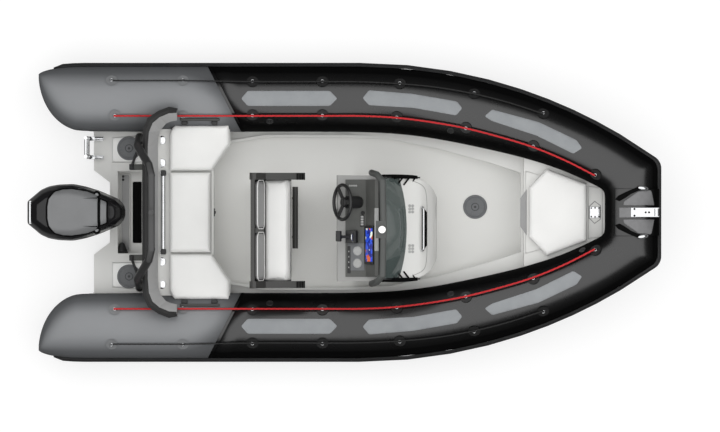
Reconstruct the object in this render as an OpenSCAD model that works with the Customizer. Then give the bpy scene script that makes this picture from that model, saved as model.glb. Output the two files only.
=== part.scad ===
// Rigid inflatable boat with console, helm bench, stern bench and outboard.
// Units are millimetres. X points to the bow, Y to port, Z up.
// The origin is amidships on the centreline, at the waterline.

/* [Overall] */
// Beam over the rub rails
beam = 2546; // [2300:1:2800]
// Length from the bow face to the cone tips
tube_length = 5262; // [4900:1:5600]

/* [Tubes] */
// Tube radius from the stern to amidships
tube_r_aft = 280; // [220:1:320]
// Tube radius across the bow
tube_r_bow = 225; // [180:1:270]
// Height of the tube centre above the water at the stern
tube_height = 300; // [240:1:360]
// How much higher the tube centre is at the bow
sheer = 315; // [150:5:400]
// Radius of the outer edge's curve towards the bow
bow_curve = 4320; // [3600:10:5200]
// Where that curve begins, ahead of amidships
curve_start = 100; // [-200:10:400]
// Length of the stern cones
cone_length = 390; // [250:10:500]
// How far the rub rail stands out from the tube
rail_proud = 28; // [15:1:40]

/* [Hull] */
// Depth of the keel below the water
keel_depth = 300; // [240:5:360]
// Height of the cockpit floor above the water
floor_z = 80; // [50:5:120]
// Height of the stern platforms above the water
platform_z = 225; // [190:5:260]
// Aft face of the stern platforms, behind amidships
wing_x = 2163; // [2050:1:2300]
// Transom face in the engine notch, behind amidships
transom_x = 2027; // [1950:1:2100]
// Half width of the engine notch
notch_half = 256; // [220:1:300]

/* [Stern bench] */
// Back of the stern bench moulding, behind amidships
bench_back = 1738; // [1700:1:1780]
// Front of the stern bench moulding, behind amidships
bench_front = 1138; // [1050:1:1200]
// Height of the bench moulding's top above the water
bench_z = 410; // [360:5:440]
// Thickness of the seat cushions
cushion_t = 75; // [50:5:100]
// Height of the backrest's top above the water
backrest_z = 760; // [700:5:900]

/* [Helm] */
// Sideways place of the console's middle, to starboard
helm_offset = 134; // [100:1:180]
// Width of the console
console_w = 897; // [760:1:960]
// Height of the console's lip above the water
console_z = 880; // [800:5:950]
// Width of the helm seat over its arms
seat_w = 976; // [880:1:1040]
// Height of the helm seat's cushion top above the water
seat_z = 790; // [700:5:860]
// Diameter of the steering wheel
wheel_d = 321; // [280:1:360]

/* [Bow] */
// Height of the bow locker's top above the water
locker_z = 450; // [400:5:480]
// Thickness of the bow cushion
bow_cushion_t = 65; // [40:5:90]

/* [Ski mast and ladder] */
// Height of the ski mast's crossbar above the water
mast_z = 1180; // [1100:5:1300]
// Spacing of the ladder's rails
ladder_w = 157; // [140:1:260]

/* [Outboard] */
// Length of the cowling
cowl_l = 832; // [700:1:900]
// Width of the cowling
cowl_w = 481; // [400:1:520]
// Top of the cowling above the water
cowl_top = 965; // [920:5:1080]
// Diameter of the propeller
prop_d = 330; // [280:1:380]

/* [Hidden] */
$fn = 48;
gap = 0.3;
sides = 36;
half_l = tube_length / 2;
// Half length and half beam that the lines below are drawn for
drawn_half_l = 2631;
drawn_half_b = 1273;
half_b = beam / 2;
cross_x = half_l - tube_r_bow;
cross_z = tube_height + sheer;
curve_y = half_b - bow_curve;
straight_y = half_b - rail_proud - tube_r_aft;
join_x = -1047;
tilt_x = -2078;
tilt_z = 262;
steer_x = -2192;

// ---------------------------------------------------------------- shared shapes
function clamp01(v) = min(1, max(0, v));
function smooth(v) = let (u = clamp01(v)) u * u * (3 - 2 * u);

// A place ahead of amidships, and a breadth, stretched with the hull
function along(x) = x > 0 ? x * half_l / drawn_half_l : x;
function abreast(y) = y * half_b / drawn_half_b;

// The tube's radius, centre height and centre breadth at a place along the boat
function tube_r(x) = tube_r_aft - (tube_r_aft - tube_r_bow) * smooth((x - 950) / (cross_x - 950));
function tube_z(x) = tube_height + sheer * pow(clamp01((x + 400) / (cross_x + 400)), 1.7);
function tube_turn(x) = x < curve_start ? 0
    : asin(min(0.99, (x - curve_start) / (bow_curve - rail_proud - tube_r(x))));
function tube_y(x) = x < curve_start ? straight_y
    : curve_y + (bow_curve - rail_proud - tube_r(x)) * cos(tube_turn(x));

// A ring of the tube: [x, y, z, radius, outward x, outward y, stretch]
function side_ring(x) = let (a = tube_turn(x)) [x, tube_y(x), tube_z(x), tube_r(x), sin(a), cos(a), 1];
function cone_ring(q) = let (r = tube_r_aft * sin(q))
    [-half_l + cone_length * (1 - cos(q)), straight_y + 0.72 * (tube_r_aft - r),
     tube_height + 0.3 * (tube_r_aft - r), r, 0, 1, 1];
join_ring = [join_x, straight_y, tube_height, tube_r_aft, -0.458, 0.889, 1.1249];
mitre_turn = asin((cross_x - curve_start) / (bow_curve - rail_proud - tube_r_bow));
mitre_y = curve_y + (bow_curve - rail_proud - tube_r_bow) * cos(mitre_turn);
mitre_out = [1 + sin(mitre_turn), cos(mitre_turn)];
mitre_n = mitre_out / norm(mitre_out);
mitre_ring = [cross_x, mitre_y, cross_z, tube_r_bow, mitre_n[0], mitre_n[1], 1 / mitre_n[0]];
function mirror_ring(g) = [g[0], -g[1], g[2], g[3], g[4], -g[5], g[6]];

stern_rings = concat([for (q = [7, 20, 34, 48, 62, 76, 90]) cone_ring(q)], [join_ring]);
side_rings = concat([join_ring + [0.2, 0, 0, 0, 0, 0, 0]],
    [for (x = [-400, curve_start]) side_ring(x)],
    [for (x = [480, 820, 1120, 1380, 1600, 1800, 1990, 2180]) side_ring(along(x))], [mitre_ring]);
bow_ring = mitre_ring - [0, 0.2, 0, 0, 0, 0, 0];
bow_rings = [bow_ring, mirror_ring(bow_ring)];

function ring_points(g, grow = 0) = [for (k = [0:sides - 1]) let (a = 360 * k / sides, r = g[3] + grow)
    [g[0] + g[6] * r * cos(a) * g[4], g[1] + g[6] * r * cos(a) * g[5], g[2] + r * sin(a)]];

// A closed solid through a list of rings with the same number of points
// (each patch is two triangles, split the other way in the first few rows if asked)
module loft(rings, other_way = 0) {
    n = len(rings[0]);
    m = len(rings);
    polyhedron(points = [for (r = rings) for (p = r) p],
        faces = concat([[for (k = [0:n - 1]) k]],
            [for (i = [0:m - 2]) for (k = [0:n - 1])
                let (a = i * n + k, b = a + n, c = (i + 1) * n + (k + 1) % n, d = c - n)
                each i < other_way ? [[a, b, d], [b, c, d]] : [[a, b, c], [a, c, d]]],
            [[for (k = [n - 1:-1:0]) (m - 1) * n + k]]));
}

module sweep_tube(rings) loft([for (g = rings) ring_points(g)]);

// The room the tubes take, for cutting the mouldings that lie against them
module tube_room(from_x = -3000) {
    all_rings = concat(stern_rings, [for (i = [1:len(side_rings) - 1]) side_rings[i]]);
    for (s = [0, 1]) mirror([0, s, 0])
        for (i = [0:len(all_rings) - 2]) if (all_rings[i + 1][0] > from_x)
            hull() loft([ring_points(all_rings[i], gap), ring_points(all_rings[i + 1], gap)]);
    hull() loft([ring_points(bow_rings[0], gap), ring_points(bow_rings[1], gap)]);
}

// A flat slice across the boat
module slice(x, points) {
    translate([x, 0, 0]) rotate([90, 0, 90]) linear_extrude(0.01) polygon(points);
}

// A plate in the X-Z plane, centred on a breadth
module side_plate(y, t, points) {
    translate([0, y + t / 2, 0]) rotate([90, 0, 0]) linear_extrude(t) polygon(points);
}

// A cushion or cap over a convex outline, its upper edge eased
module eased(points, z0, z1, edge) hull() {
    translate([0, 0, z0]) linear_extrude(z1 - z0 - edge) polygon(points);
    translate([0, 0, z0]) linear_extrude(z1 - z0) offset(delta = -edge) polygon(points);
}

function box_outline(x0, x1, y0, y1) = [[x0, y0], [x1, y0], [x1, y1], [x0, y1]];
function both_sides(points) = concat(points,
    [for (i = [len(points) - 1:-1:0]) [points[i][0], -points[i][1]]]);

// A bent bar: a section carried from point to point, round or spread flat in plan
module bar(points, r, n = 14, spread = 1) for (i = [0:len(points) - 2])
    hull() for (p = [points[i], points[i + 1]]) translate(p) scale([spread, spread, 1]) sphere(r, $fn = n);

// ---------------------------------------------------------------- hull and deck
// Stations of the hull from stern to bow
X = 0;
KEEL = 1;
CHINE_Y = 2;
CHINE_Z = 3;
TUCK = 4;
lines_plan = [
    [-wing_x, -keel_depth,        830, -60, 0.25],
    [-1000,   -keel_depth,        830, -60, 0.25],
    [0,       -keel_depth,        825, -50, 0.25],
    [700,     -keel_depth + 15,   770, -15, 0.25],
    [1100,    -keel_depth + 38,   660,  35, 0.30],
    [1500,    -keel_depth + 102,  490,  90, 0.30],
    [1800,    -keel_depth + 210,  370, 170, 0.30],
    [2050,    -keel_depth + 370,  240, 225, 0.30],
    [2240,    -keel_depth + 545,  150, 308, 0.30],
    [2360,    -keel_depth + 690,   70, 400, 0.30]];
hull_stations = [for (s = lines_plan) [along(s[X]), s[KEEL], abreast(s[CHINE_Y]), s[CHINE_Z], s[TUCK]]];

function tuck_y(x, k) = tube_y(x) - k * tube_r(x);
function joint_z(x) = tube_z(x) - 0.78 * tube_r(x);
function ledge_z(x) = tube_z(x) - 0.57 * tube_r(x);
function hull_slice(s) = [[0, s[KEEL]], [s[CHINE_Y], s[CHINE_Z]],
    [tuck_y(s[X], s[TUCK]), joint_z(s[X]) - 0.1],
    [-tuck_y(s[X], s[TUCK]), joint_z(s[X]) - 0.1], [-s[CHINE_Y], s[CHINE_Z]]];
function deck_slice(s, top) = let (y = tuck_y(s[X], s[TUCK]))
    [[-y, joint_z(s[X])], [y, joint_z(s[X])], [y, top], [-y, top]];

// The cockpit floor's edge, port half, from stern to bow
cockpit_plan = [[-1738, 590], [-999, 590], [-697, 640], [-50, 640], [350, 628], [786, 541],
    [1222, 422], [1475, 338]];
cockpit_edge = [for (p = cockpit_plan) [along(p[0]), abreast(p[1])]];
cockpit_outer = [for (i = [0:len(cockpit_edge) - 1])
    [cockpit_edge[i][0] + (i == 0 ? -25 : (i == len(cockpit_edge) - 1 ? 25 : 0)), cockpit_edge[i][1] + 25]];
notch_plan = [[-2400, 359], [-wing_x, 359], [-transom_x, notch_half], [-transom_x, -notch_half],
    [-wing_x, -359], [-2400, -359]];

// Where the eye sits in the stem
stem_x = along(2095);

module hull_shell() color("#d6d6d4") difference() {
    union() {
        for (i = [0:len(hull_stations) - 2]) hull() {
            slice(hull_stations[i][X], hull_slice(hull_stations[i]));
            slice(hull_stations[i + 1][X] - 0.01, hull_slice(hull_stations[i + 1]));
        }
        // two spray strakes each side
        for (s = [-1, 1]) for (k = [0.42, 0.72]) for (i = [0:6]) hull()
            for (j = [i, i + 1])
                let (st = hull_stations[j], y = k * st[CHINE_Y], z = st[KEEL] + k * (st[CHINE_Z] - st[KEEL]))
                slice(j == 0 ? 30 - wing_x : st[X] - (j == i ? 0 : 0.01),
                    [[s * (y - 18), z - 2], [s * (y + 14), z - 6],
                     [s * (y + 20), z + 30], [s * (y - 18), z + 30]]);
    }
    translate([0, 0, floor_z - 30.1]) linear_extrude(600)
        offset(delta = 0.1) polygon(both_sides(cockpit_outer));
    translate([0, 0, -900]) linear_extrude(1500) polygon(notch_plan);
    // seat for the bow eye on the stem
    translate([stem_x, -20, 110]) cube([200, 40, 60]);
    tube_room();
}

// How far the treads on the stern platforms stand up
tread_t = 12;

module deck() color("#d2d2d0") difference() {
    union() {
        // cockpit liner and side ledges
        for (i = [1:4]) hull() for (j = [i, i + 1]) let (s = hull_stations[j])
            slice(s[X] - (j == i ? 0 : 0.01), deck_slice(s, ledge_z(s[X])));
        hull() {
            slice(-1763, deck_slice([-1763, 0, 0, 0, 0.25], ledge_z(-1000)));
            slice(-1000.01, deck_slice(hull_stations[1], ledge_z(-1000)));
        }
        translate([0, 0, floor_z - 30]) linear_extrude(120) polygon(both_sides(cockpit_outer));
        // stern platforms and transom
        hull() {
            slice(-wing_x, deck_slice([-wing_x, 0, 0, 0, 0.25], platform_z));
            slice(-1738.01, deck_slice([-1738, 0, 0, 0, 0.25], platform_z));
        }
        // raised treads on the platforms
        for (s = [0, 1]) mirror([0, s, 0])
            eased([[-2010, 424], [-1745, 424], [-1745, 660], [-2010, 640]],
                platform_z - 1, platform_z + tread_t, 10);
    }
    translate([0, 0, floor_z]) linear_extrude(600) polygon(both_sides(cockpit_edge));
    translate([0, 0, -900]) linear_extrude(1500) polygon(notch_plan);
    // splash well, and the drained recess along its front
    translate([-1959, -350, 125]) cube([204, 700, 200]);
    translate([-1836, -262, 97]) cube([81, 524, 60]);
    tube_room(-2600);
}

// ---------------------------------------------------------------- tubes
module tube_stern_port() color("#8b8d8f") sweep_tube(stern_rings);
module tube_stern_starboard() color("#8b8d8f") mirror([0, 1, 0]) sweep_tube(stern_rings);
module tube_port() color("#2b2b2c") sweep_tube(side_rings);
module tube_starboard() color("#2b2b2c") mirror([0, 1, 0]) sweep_tube(side_rings);
module tube_bow() color("#2b2b2c") sweep_tube(bow_rings);

// The rub rail's section, as [degrees round the tube, distance out, height]: two ridges with a groove
RIM = [[-10, gap, 0], [0, 10, -54], [0, rail_proud, -38], [0, rail_proud, -14], [0, rail_proud - 9, 0],
    [0, rail_proud, 14], [0, rail_proud, 38], [0, 10, 54], [10, gap, 0], [0, gap, 0]];
function rail_points(g, k = 1) = [for (p = RIM) let (
    out = p[2] == 0 && p[1] == gap ? g[6] * (g[3] + gap) * cos(p[0])
        : g[6] * (g[3] + max(gap + 2, p[1] * k)),
    up = p[2] == 0 && p[1] == gap ? (g[3] + gap) * sin(p[0]) : p[2] * g[3] / tube_r_aft)
    [g[0] + out * g[4], g[1] + out * g[5], g[2] + up]];
rail_rings = concat([cone_ring(48), cone_ring(62), cone_ring(76), cone_ring(90)],
    [for (i = [1:len(side_rings) - 1]) side_rings[i]]);
module rub_rail() color("#1d1d1e") loft(concat([rail_points(rail_rings[0], 0.3)],
    [for (i = [1:len(rail_rings) - 1]) rail_points(rail_rings[i])],
    [for (i = [len(rail_rings) - 1:-1:1]) rail_points(mirror_ring(rail_rings[i]))],
    [rail_points(mirror_ring(rail_rings[0]), 0.3)]), len(rail_rings));

// ---------------------------------------------------------------- bow fittings
step_w = 400;
step_t = 16;
module bow_step() color("#1f1f20") intersection() {
    translate([cross_x, step_w / 2, cross_z]) rotate([90, 0, 0]) linear_extrude(step_w) difference() {
        circle(tube_r_bow + step_t, $fn = 96);
        circle(tube_r_bow + gap, $fn = 96);
    }
    translate([0, step_w / 2, 0]) rotate([90, 0, 0]) linear_extrude(step_w)
        polygon([[cross_x, cross_z + 20], [cross_x + 300, cross_z + 60], [cross_x + 300, cross_z + 400],
            [cross_x - 145, cross_z + 400], [cross_x - 145, cross_z + 120]]);
}

step_top = cross_z + tube_r_bow + step_t;
roller_w = 76;
roller_plate_t = 6;
roller_cheek = [[90, 6.3], [220, 6.3], [232, 20], [222, 52], [190, 52]];
module bow_roller() color("#c9cbcd") {
    translate([cross_x - 10, -roller_w / 2, step_top + gap]) cube([230, roller_w, roller_plate_t]);
    for (s = [-1, 1]) side_plate(s * (roller_w - roller_plate_t) / 2, roller_plate_t,
        [for (p = roller_cheek) [cross_x + p[0], step_top + p[1]]]);
    translate([cross_x + 205, 32, step_top + 32]) rotate([90, 0, 0]) cylinder(r = 20, h = 64);
}

module bow_eye() color("#c9cbcd") difference() {
    union() {
        translate([stem_x + gap, -20 + gap, 110 + gap]) cube([72, 40 - 2 * gap, 60 - 2 * gap]);
        translate([stem_x + 87, 7, 140]) rotate([90, 0, 0]) cylinder(r = 28, h = 14);
    }
    translate([stem_x + 93, 30, 140]) rotate([90, 0, 0]) cylinder(r = 14, h = 60);
}

tow_eye_y = 720;
module tow_eyes() color("#c9cbcd") for (s = [-1, 1]) translate([-wing_x, s * tow_eye_y, 0]) difference() {
    union() {
        translate([-8, -38, 35]) cube([8, 76, 60]);
        translate([-34, 0, 58]) cylinder(r = 28, h = 14);
        translate([-34, -28, 58]) cube([28, 56, 14]);
    }
    translate([-34, 0, 40]) cylinder(r = 13, h = 50);
}

hatch_r = 102;

module deck_hatches() color("#6d6f71") {
    for (s = [-1, 1]) translate([-1863, s * 546, platform_z + tread_t]) cylinder(r = hatch_r, h = 8);
    translate([along(1090), 47, floor_z]) cylinder(r = hatch_r, h = 8);
}

// ---------------------------------------------------------------- bow locker
lid_plan = both_sides([[along(1515), 350], [along(2033), 196]]);
// the lid itself has its hinged corners cut back, to clear the rebate as it opens
lid_outline = both_sides([[along(1515), 339], [along(1531), 345], [along(2033), 196]]);
cushion_plan = both_sides([[along(1534), 216], [along(1690), 378], [along(2040), 246]]);
anchor_x = along(2040) + 8;
module bow_locker() color("#cfcfcd") difference() {
    union() {
        for (i = [5:8]) hull() for (j = [i, i + 1]) let (s = hull_stations[j])
            slice(s[X] + (j == i ? (i == 5 ? gap : 0) : -0.01), deck_slice(s, locker_z));
    }
    // hollow, open under the lid
    hull() {
        slice(along(1522), box_outline(-330, 330, locker_z - 130, 800));
        slice(along(2012), box_outline(-180, 180, locker_z - 65, 800));
    }
    // rebate for the lid
    translate([0, 0, locker_z - 15]) linear_extrude(100) offset(delta = 3) polygon(lid_plan);
    // anchor locker
    translate([anchor_x + 14, -190, locker_z - 40]) cube([96, 380, 200]);
    translate([0, 0, locker_z - 12]) linear_extrude(100)
        polygon(both_sides([[anchor_x - 2, 225], [anchor_x + 120, 211]]));
    tube_room(1200);
}

module bow_locker_lid() color("#d2d2d0") translate([0, 0, locker_z - 14.7])
    linear_extrude(14.7) polygon(lid_outline);

module bow_cushion() color("#e9e9e7")
    eased(cushion_plan, locker_z + gap, locker_z + bow_cushion_t, 14);

module anchor_lid() color("#d2d2d0") translate([0, 0, locker_z - 11.7])
    linear_extrude(11.7) polygon(both_sides([[anchor_x, 222], [anchor_x + 118, 208]]));

module anchor_lid_plate() color("#c9cbcd")
    translate([anchor_x + 14, -48, locker_z + gap]) cube([84, 96, 6]);

// ---------------------------------------------------------------- console
cy = -helm_offset;
ch = console_w / 2;
dash_rise = 0.4225;
lip_x = -92;
// The nose's upper edge from the brow down, as [x, height over the lip]
nose_profile = [[500, 90], [562, 73], [618, 44], [668, 5], [710, -44], [741, -102], [758, -166], [752, -300]];
console_side = concat([[40, floor_z], [lip_x, console_z - 60], [lip_x, console_z - 12],
    [lip_x + 12, console_z],
    [-14, console_z + 10], [270, console_z + 10 + 284 * dash_rise]],
    [for (p = nose_profile) [p[0], console_z + p[1]]], [[700, floor_z]]);
// The console's edge in plan, as [x, distance in from its full width]
nose_plan = [[lip_x, 0], [420, 6], [540, 15], [604, 32], [654, 56], [696, 88], [727, 126],
    [748, 168], [761, 210], [767, 256]];
console_plan = [for (p = both_sides([for (q = nose_plan) [q[0], ch - q[1]]])) [p[0], p[1] + cy]];

module console_body() color("#d6d6d4") difference() {
    intersection() {
        side_plate(cy, console_w + 20, console_side);
        translate([0, 0, floor_z]) linear_extrude(1400) polygon(console_plan);
    }
    // hollow, open to the floor
    intersection() {
        translate([0, cy + ch, -20]) rotate([90, 0, 0]) linear_extrude(2 * ch)
            offset(delta = -18) polygon(console_side);
        translate([0, 0, floor_z - 40]) linear_extrude(1400) offset(delta = -15) polygon(console_plan);
    }
}

dash_tilt = atan(dash_rise);
pod_z = console_z + 10 + 0.3 + (150 + 14) * dash_rise;
// On the console's sloping top: x runs up the slope, z stands off it
module on_dash() translate([-14, 0, console_z + 10.3]) rotate([0, -dash_tilt, 0]) children();

module console_dash() color("#2c2c2d") union() {
    on_dash() translate([0, cy - ch + 38, 0]) cube([305, console_w - 76, 8]);
    side_plate(cy, console_w - 80, [[150, pod_z], [232, pod_z + 195], [262, pod_z + 203],
        [318, pod_z + 100], [318, pod_z + 42.8], [270, pod_z + 51.1]]);
}

screen_w = console_w - 59;
function screen_bow(t) = -62 * pow(abs(t), 2.2);
function brow_z(x) = console_z + 130 - (x - 270) * 0.1739 + gap;

// One upright section of the sheet: foot and head, front and back
function screen_section(y, b) = [[500 + b, y, brow_z(500 + b)], [322 + b * 0.1, y, console_z + 389],
    [314 + b * 0.1, y, console_z + 389], [491 + b, y, brow_z(491 + b)]];

module windscreen() color("#5c6664")
    loft([for (k = [-6:6]) screen_section(cy - k / 6 * screen_w / 2, screen_bow(k / 6))]);

// The fins' outline, as [x, height over the lip]: a hollow curve from the rail down to the nose
fin_profile = [[246, 142], [300, 330], [332, 330], [352, 262], [386, 205], [436, 158], [500, 120],
    [562, 92], [612, 66], [614, 48], [562, 73.3], [500, 90.3], [272, 131.5]];

module windscreen_fins() color("#1d1d1e") for (s = [-1, 1]) {
    side_plate(cy + s * (screen_w / 2 + 8), 12, [for (p = fin_profile) [p[0], console_z + p[1]]]);
    // slanted ribs on the outer face
    for (x = [330, 378, 426, 474]) let (top = console_z + 190 - (x - 330) * 0.42)
        side_plate(cy + s * (screen_w / 2 + 16), 6,
            [[x, top], [x + 14, top], [x + 44, top - 34], [x + 30, top - 34]]);
}

module console_rail() color("#1d1d1e") union() {
    z = console_z + 415;
    e = screen_w / 2 - 14;
    bar([[205, cy + e + 62, z - 190], [250, cy + e + 46, z - 60], [295, cy + e - 10, z], [303, cy, z + 6],
        [295, cy - e + 10, z], [250, cy - e - 46, z - 60], [205, cy - e - 62, z - 190]], 19, 12, 1.5);
    translate([238, cy - 84, z + 13]) cube([88, 146, 12]);
}

module nav_light() color("#f2f2f0") translate([291, cy - 11, console_z + 440.5]) {
    cylinder(r = 30, h = 60);
    translate([0, 0, 60]) cylinder(r1 = 32, r2 = 24, h = 14);
}

module chartplotter() color("#161617")
    translate([149.7, 0, pod_z + 0.2]) rotate([0, -67.2, 0])
        translate([14, cy - ch + 144.5, 0]) cube([180, 326, 16]);

module throttle() color("#1a1a1b") on_dash() translate([20, cy - 124, 8.3]) {
    cube([95, 105, 50]);
    hull() { translate([45, 40, 30]) cube([24, 24, 30]); translate([-36, 40, 117]) cube([24, 24, 12]); }
    translate([-48, 12, 112]) cube([42, 90, 34]);
}

wheel_x = -42;
wheel_y = cy + 219;
wheel_tilt = 29.5;
wheel_z = console_z + 130;
module helm_axis() translate([wheel_x, wheel_y, wheel_z]) rotate([0, -90 + wheel_tilt, 0]) children();

module helm_hub() color("#1a1a1b") difference() {
    helm_axis() {
        translate([0, 0, -170]) cylinder(r = 52, h = 130);
        translate([0, 0, -41]) cylinder(r = 11, h = 8);
    }
    on_dash() translate([-400, -300, -400]) cube([900, 900, 408.3]);
}

module helm_wheel() color("#151516") helm_axis() union() {
    rotate_extrude($fn = 64) translate([wheel_d / 2 - 15, 0]) circle(15, $fn = 16);
    translate([0, 0, -32]) cylinder(r = 42, h = 36);
    for (a = [90, 210, 330]) rotate(a) translate([38, -16, -20]) rotate([0, -9, 0]) cube([100, 32, 10]);
}

// ---------------------------------------------------------------- helm seat
sy = -153;
sh = seat_w / 2;
seat_side = [[-800, floor_z], [-790, seat_z - 130], [-520, seat_z - 130], [-470, seat_z - 190],
    [-500, floor_z]];
seat_plan = [for (p = [[-800, 410], [-560, 410], [-470, 350], [-470, -350], [-560, -410], [-800, -410]])
    [p[0], p[1] + sy]];
module helm_seat_base() color("#cfcfcd") difference() {
    intersection() {
        side_plate(sy, 860, seat_side);
        translate([0, 0, floor_z]) linear_extrude(900) polygon(seat_plan);
    }
    intersection() {
        translate([0, sy + 430, -20]) rotate([90, 0, 0]) linear_extrude(860)
            offset(delta = -18) polygon(seat_side);
        translate([0, 0, floor_z - 40]) linear_extrude(900) offset(delta = -15) polygon(seat_plan);
    }
}

// Outlines seen from the side, as [x, height over the cushion's top]
arm_outline = [[-816, -120], [-825, 250], [-800, 292], [-770, 292], [-690, 110], [-420, 60], [-361, 10],
    [-370, -60], [-520, -129.7]];
pan_outline = [[-816, -129.7], [-816, 292], [-782, 292], [-772, -110], [-500, -110], [-476, -129.7]];
web_outline = [[-781, 4], [-779, 270], [-765, 270], [-702, 14], [-702, 4]];
seat_cushion_outline = [[-700, -109.7], [-702, -14], [-690, 0], [-520, 0], [-500, -20], [-474, -90],
    [-480, -109.7]];
seat_pad_outline = [[-774.6, 12], [-780.9, 262], [-758, 262], [-708, 40], [-704, 12]];
module seat_plate(y, t, outline) side_plate(sy + y, t, [for (p = outline) [p[0], seat_z + p[1]]]);

module helm_seat_frame() color("#4c4c4a") {
    // side arms, the bar across the back and the pan under the cushion
    for (s = [-1, 1]) seat_plate(s * (sh - 30), 58, arm_outline);
    seat_plate(0, 2 * sh - 117, pan_outline);
    seat_plate(0, 46, web_outline);
}

module helm_seat_cushion() color("#e9e9e7") hull() {
    seat_plate(0, 2 * sh - 121, seat_cushion_outline);
}

module helm_seat_pads() color("#858585") {
    for (s = [-1, 1]) seat_plate(s * (sh / 2 - 18), sh - 88, seat_pad_outline);
}

module helm_footrest() color("#161617") union() {
    translate([-446, 218, floor_z + 190]) rotate([90, 0, 0]) cylinder(r = 24, h = 526);
    for (y = [-220, 110]) translate([-488.2, y, floor_z + 182]) cube([30, 20, 16]);
}

// ---------------------------------------------------------------- stern bench
module bench_base() color("#cfcfcd") difference() {
    union() {
        translate([-bench_back, -588, floor_z]) cube([bench_back - bench_front, 1176, 320 - floor_z]);
        translate([0, 0, 250]) linear_extrude(bench_z - 250)
            polygon(both_sides([[-bench_back, 745], [-1002, 745], [-994, 579],
                [-bench_front - 8, 362], [-bench_front, 340]]));
    }
    // hollow locker under the lid
    translate([-1498, -330, floor_z + 20]) cube([328, 660, 600]);
    translate([-1500, -348, bench_z - 15]) cube([342, 696, 100]);
    tube_room(-1800);
}

module bench_lid() color("#d2d2d0") translate([-1497, -346, bench_z - 14.7]) cube([337, 692, 14.7]);

// Its lower back edge is cut away, to clear the bench as the lid opens
module bench_cushion() color("#ececea") hull() {
    translate([0, 0, bench_z + gap]) linear_extrude(1) polygon(box_outline(-1500, -1160, -343, 343));
    eased(box_outline(-1516, -1160, -343, 343), bench_z + 16, bench_z + cushion_t, 16);
}

corner_cushion_plan = [[-1516, 352], [-1516, 700], [-1470, 742], [-1004, 742], [-997, 580], [-1150, 352]];
module bench_corner_cushions() color("#ececea") difference() {
    for (s = [0, 1]) mirror([0, s, 0]) eased(corner_cushion_plan, bench_z + gap, bench_z + cushion_t, 16);
    tube_room(-1800);
}

// Stations round the backrest: [outer x, outer y, inner x, inner y, foot x, foot y]
back_run = [
    [-1738,   0, -1690,   0, -1612,   0],
    [-1738, 560, -1690, 560, -1612, 560],
    [-1733, 700, -1680, 680, -1606, 640],
    [-1690, 800, -1650, 755, -1585, 700],
    [-1600, 860, -1590, 805, -1540, 752],
    [-1511, 894, -1511, 838, -1500, 770],
    [-1440, 880, -1446, 842, -1446, 780]];
// The section at a station, from the foot over the top to the outer lower edge
function back_ring(p) = [[p[4], p[5], bench_z + 45 + max(0, p[1] - 600) * 0.5],
    [p[2], p[3], backrest_z - 20], [(p[0] + p[2]) / 2, (p[1] + p[3]) / 2, backrest_z],
    [p[0], p[1], backrest_z - 20], [p[0], p[1], bench_z + 175]];

module bench_backrest() color("#4a4a49") difference() {
    bench_back_shape();
    tube_room(-1800);
}

module bench_back_shape() {
    side_plate(0, 1120, [[-1738, bench_z + gap], [-1616, bench_z + gap], [-1611, bench_z + 46],
        [-1738, bench_z + 180]]);
    for (s = [0, 1]) mirror([0, s, 0]) for (i = [0:len(back_run) - 2])
        hull() loft([back_ring(back_run[i]), back_ring(back_run[i + 1])]);
}

module bench_tube() color("#c9cbcd") {
    translate([-1568, 312, bench_z + 27]) rotate([90, 0, 0]) cylinder(r = 19, h = 624);
    for (s = [-1, 1]) translate([-1592, s * 334 - 22, bench_z]) cube([48, 44, 52]);
}

// ---------------------------------------------------------------- ski mast and ladder
module ski_mast() color("#3c3c3c") union() {
    for (s = [-1, 1]) bar([[-1775, s * 641, platform_z + 50], [-1775, s * 560, 790],
        [-1672, s * 400, mast_z - 60],
        [-1650, s * 310, mast_z]], 23, 14, 1.5);
    bar([[-1650, -310, mast_z], [-1650, 310, mast_z]], 22, 14, 1.45);
    translate([-1650, 0, mast_z]) cylinder(r = 22, h = 70);
    for (s = [-1, 1]) translate([-1775, s * 641, platform_z + 12.3]) cylinder(r = 26, h = 40);
}

ladder_y = 549;
ladder_x = -2205;
ladder_z = platform_z + 32;
module ladder_brackets() color("#b9bbbd") for (s = [-1, 1]) translate([0, ladder_y + s * ladder_w / 2, 0]) {
    translate([-2160, -20, platform_z]) cube([80, 40, 8]);
    side_plate(-16, 6, [[-2160, platform_z + 8], [-2090, platform_z + 8], [-2130, platform_z + 26],
        [ladder_x - 14, ladder_z + 14], [ladder_x - 14, ladder_z - 14], [ladder_x + 14, ladder_z - 16]]);
}

// A place on the folded ladder's leaning centre line, at a height over its pivots
function ladder_at(y, z) = [ladder_x - z * 0.05, ladder_y + y, ladder_z + z];

module ladder() color("#c9cbcd") union() {
    for (s = [-1, 1]) {
        hull() for (z = [0, 330]) translate(ladder_at(s * ladder_w / 2 + 4, z)) cylinder(r = 15, h = 4);
        translate(ladder_at(s * ladder_w / 2 + 21, 0)) rotate([90, 0, 0]) cylinder(r = 14, h = 34);
    }
    for (z = [70, 190, 310])
        translate(ladder_at(ladder_w / 2 + 4, z)) rotate([90, 0, 0]) cylinder(r = 13, h = ladder_w);
}

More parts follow.
